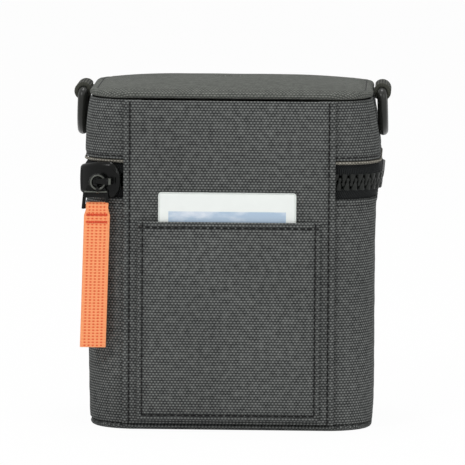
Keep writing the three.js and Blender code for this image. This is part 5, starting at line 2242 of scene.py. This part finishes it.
@dataclass
class Rings:
    """The slider's round ring, and a D-ring in a webbing loop on each side of the lid."""

    ring_radius: float = 2.7 * MM
    ring_wire: float = 0.75 * MM
    highlight_normal: float = -0.98
    wire: float = 1.95 * MM
    half_width: float = 12.0 * MM
    drop: float = 16.0 * MM
    bend: float = 2.4 * MM
    tilt: float = 2.2
    inward: float = 1.2 * MM
    sags: tuple[float, float] = (0.9 * MM, 0.2 * MM)
    loop_half: float = 10 * MM
    loop_thickness: float = 1.5 * MM
    loop_gap: float = 0.1 * MM
    loop_bevel: float = 0.2 * MM
    loop_inset: float = 2.0 * MM
    loop_turn: tuple[float, float] = (138, -100)
    loop_start: tuple[tuple[float, float], ...] = ((0, 0.2 * MM), (1.0 * MM, 0.9 * MM))
    loop_end: tuple[tuple[float, float], ...] = ((1.6 * MM, -1.4 * MM), (0.4 * MM, -0.6 * MM))

    def build(self, finishes: Finishes, pins: dict[str, Vector]) -> None:
        """Build and dress the rings and the loops.

        Args:
            finishes: The materials.
            pins: Where each joint's pin is, by the joint's name.
        """
        low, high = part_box("pull_ring")
        circle = arc((low + high) / 2, self.ring_radius, 0, 360, 64)[:-1]
        ring = sweep("pull_ring_wire", circle, self.ring_wire)
        dress(ring, finishes.enamel, Body.RING, "pull_ring", slot="enamel")
        # Painted highlight on the wire's faces that point straight toward the back.
        paint_highlight(ring, finishes.painted_highlight, lambda _, normal: normal.y < self.highlight_normal)
        for side, body, sag in zip(Side, (Body.LEFT_RING, Body.RIGHT_RING), self.sags):
            name = side.name.lower()
            pin = pins[f"d_ring_{name}_swing"] - Vector((side.value * self.inward, 0, sag))
            ring = sweep(f"d_ring_wire_{name}", self.d_path(), self.wire, sides=20)
            tilt = Matrix.Rotation(-side.value * math.radians(self.tilt), 4, "Y")
            ring.data.transform(Matrix.Translation(pin) @ tilt)
            # The D-rings' lighter enamel is a painted highlight.
            dress(ring, finishes.ring_enamel, body, f"d_ring_{name}", slot="enamel")
            self.build_loop(name, side, pin, finishes)

    def d_path(self) -> list[Vector]:
        """Draw the middle line of a D-ring that hangs from its bar, which lies along Y.

        Returns:
            Its points, from the bar's far end round the bow and back along the bar.
        """
        inner = self.half_width - self.bend
        path = arc(Vector((0, inner, -self.bend)), self.bend, 90, 0, 8, "yz")
        path += arc(Vector((0, 0, self.half_width - self.drop)), self.half_width, 0, -180, 40, "yz")
        path += arc(Vector((0, -inner, -self.bend)), self.bend, 180, 90, 8, "yz")
        return path + [Vector((0, -inner + 2 * inner * i / 12, 0)) for i in range(1, 12)]

    def loop_line(self, pin: Vector) -> list[tuple[float, float]]:
        """Draw the middle line of a loop, from the top seam, over the bar and back to the seam.

        Args:
            pin: Middle of the ring's bar.

        Returns:
            Distance outward and height, point by point.
        """
        reach = self.wire + self.loop_gap + self.loop_thickness / 2
        inner = OUTLINE.width / 2 - self.loop_inset
        start, end = ([(inner + out, OUTLINE.top_seam + up) for out, up in ends]
                      for ends in (self.loop_start, self.loop_end))
        first, last = self.loop_turn
        angles = [math.radians(first + (last - first) * i / 24) for i in range(25)]
        turn = [(abs(pin.x) + reach * math.cos(angle), pin.z + reach * math.sin(angle)) for angle in angles]
        return start + turn + end

    def build_loop(self, name: str, side: Side, pin: Vector, finishes: Finishes) -> None:
        """Build and dress the webbing loop of a D-ring.

        Args:
            name: Its side in words.
            side: Its side.
            pin: Middle of the ring's bar.
            finishes: The materials.
        """
        line = self.loop_line(pin)
        lengths = lengths_along(line)
        rows = len(line) - 1

        def place(u: float, v: float) -> Point:
            """Point of the loop for a share across and a share along."""
            x, z = line[round(v * rows)]
            return (side.value * x, pin.y + (2 * u - 1) * self.loop_half, z)

        def surface(u: float, v: float) -> Point:
            """Metres across and along the webbing."""
            return ((2 * u - 1) * self.loop_half, lengths[round(v * rows)], 0)

        loop = lay_grid(f"strap_loop_webbing_{name}", 24, rows, place, surface)
        thicken(loop, self.loop_thickness, 0)
        finish_with(loop, "BEVEL", width=self.loop_bevel, segments=2, limit_method="ANGLE")
        soften(loop, 50)
        dress(loop, finishes.black_webbing, Body.LID, f"strap_loop_{name}", slot="black_webbing")


@dataclass
class Studio:
    """Camera, lights, floor and backdrop."""

    lens: float = 435.5
    sensor: float = 36.0
    aim: Point = (1.4 * MM, -40.2 * MM, 78.4 * MM)
    reach: float = 2.2
    yaw: float = 2.0
    elevation: float = 6.3
    roll: float = 0.38
    clip_end: float = 100
    floor_size: float = 30.0
    lamp_aim: Point = (0, 0, 0.07)
    lamps: tuple[tuple[str, Point, float, float], ...] = (
        ("key_light", (-0.9, -1.3, 1.3), 0.4, 9.8),
        ("fill_light", (1.2, -1.1, 0.8), 0.7, 5.0),
        ("top_light", (0.0, 0.1, 1.6), 0.5, 9.0),
    )
    ambient: float = 0.5

    def build(self) -> None:
        """Build the studio."""
        self.place_camera()
        self.place_lights()
        self.set_world()
        floor = new_shape("studio_floor", bpy.ops.mesh.primitive_plane_add, size=self.floor_size)
        floor.data.materials.append(PaleFloor().make())

    def place_camera(self) -> None:
        """Place the camera at the photograph's angle."""
        azimuth, height = math.radians(self.yaw), math.radians(self.elevation)
        level = math.cos(height)
        back = Vector((math.sin(azimuth) * level, -math.cos(azimuth) * level, math.sin(height)))
        place = Vector(self.aim) + back * self.reach
        camera = new_shape("camera", bpy.ops.object.camera_add, location=place)
        roll = Matrix.Rotation(math.radians(self.roll), 4, "Z").to_quaternion()
        camera.rotation_mode = "QUATERNION"
        camera.rotation_quaternion = (-back).to_track_quat("-Z", "Y") @ roll
        camera.data.lens = self.lens
        camera.data.sensor_width = self.sensor
        camera.data.clip_end = self.clip_end
        bpy.context.scene.camera = camera

    def place_lights(self) -> None:
        """Hang the lamps."""
        for name, spot, size, power in self.lamps:
            lamp = new_shape(name, bpy.ops.object.light_add, type="AREA", location=spot)
            lamp.rotation_mode = "QUATERNION"
            lamp.rotation_quaternion = (Vector(self.lamp_aim) - Vector(spot)).to_track_quat("-Z", "Y")
            lamp.data.size = size
            lamp.data.energy = power

    def set_world(self) -> None:
        """Give the world a soft light, and a white backdrop for the rays that show it."""
        world = bpy.context.scene.world or bpy.data.worlds.new("studio")
        bpy.context.scene.world = world
        world.use_nodes = True
        world.node_tree.nodes.clear()
        wiring = Wiring(world.node_tree)
        ambient = wiring.add("Background", {"Color": WHITE, "Strength": self.ambient})
        backdrop = wiring.add("Background", {"Color": WHITE, "Strength": 1.0})
        shown = {0: wiring.seen(), 1: ambient.outputs[0], 2: backdrop.outputs[0]}
        mix = wiring.add("MixShader", shown)
        wiring.add("OutputWorld", {0: mix.outputs[0]})


def cloth_parts() -> list[Part]:
    """List the case's parts that need no joint's place.

    Returns:
        The parts, in the order in which they are built.
    """
    body_spread = ((0, 2.5), (0.1, 4.2), (0.72, 85), (0.92, 90.6), (1, 91.5))
    lid_spread = ((0, 106.4), (0.3, 109.6), (0.86, 128.6), (1, 130.0))
    case_lining = ((91.2, 2.0), (91.6, 2.3), (91.7, 3.0), (91.4, 3.9), (90.5, 4.3), (60, 4.3), (30, 4.3),
                   (7, 4.3), (5.6, 5.2), (5.3, 7.0))
    lid_lining = ((105.4, 2.0), (105.0, 2.3), (104.9, 3.0), (105.2, 3.9), (106.1, 4.3), (116, 4.3),
                  (127.6, 4.3), (128.5, 5.2), (128.7, 7.0))
    in_case = ("body_lining", "body_band_foam", "back_foam_lower", "base_lining", "base_foam", "base_board")
    in_lid = ("lid_lining", "lid_band_foam", "back_foam_upper", "lid_top_lining")
    return [
        Base(),
        Band("body_band", 2.5 * MM, OUTLINE.body_top, ("body_band_canvas",), Body.CASE, 89.0 * MM,
             body_spread, rows=90, puff=0.35 * MM),
        Band("lid_band", 106.4 * MM, 130.0 * MM, ("lid_band_canvas",), Body.LID, 107.9 * MM,
             lid_spread, rows=60, puff=0.25 * MM),
        BackPanel(),
        LidTop(),
        HemTrim(),
        FilmPocket(),
        InstantPrint(),
        Zip(),
        Lining("case_lining", Body.CASE, case_lining, in_case),
        Lining("lid_inner_lining", Body.LID, lid_lining, in_lid),
        HingeLining(),
    ]


def main() -> None:
    """Build the case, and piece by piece."""
    logging.basicConfig(level=logging.INFO, format="%(name)s %(message)s")
    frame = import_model()
    pins = {joint["name"]: Vector(joint["pos_m"]) for joint in frame["joints"] if "pos_m" in joint}
    bpy.context.scene.view_settings.view_transform = "Standard"
    Studio().build()
    finishes = Finishes()
    for part in cloth_parts():
        part.build(finishes)
    Slider(pins["slider_travel"]).build(finishes)
    PullFrame(pins["pull_frame_swing"]).build(finishes)
    StrapPull(pins["pull_strap_swing"]).build(finishes)
    Rings().build(finishes, pins)


if __name__ == "__main__":
    main()
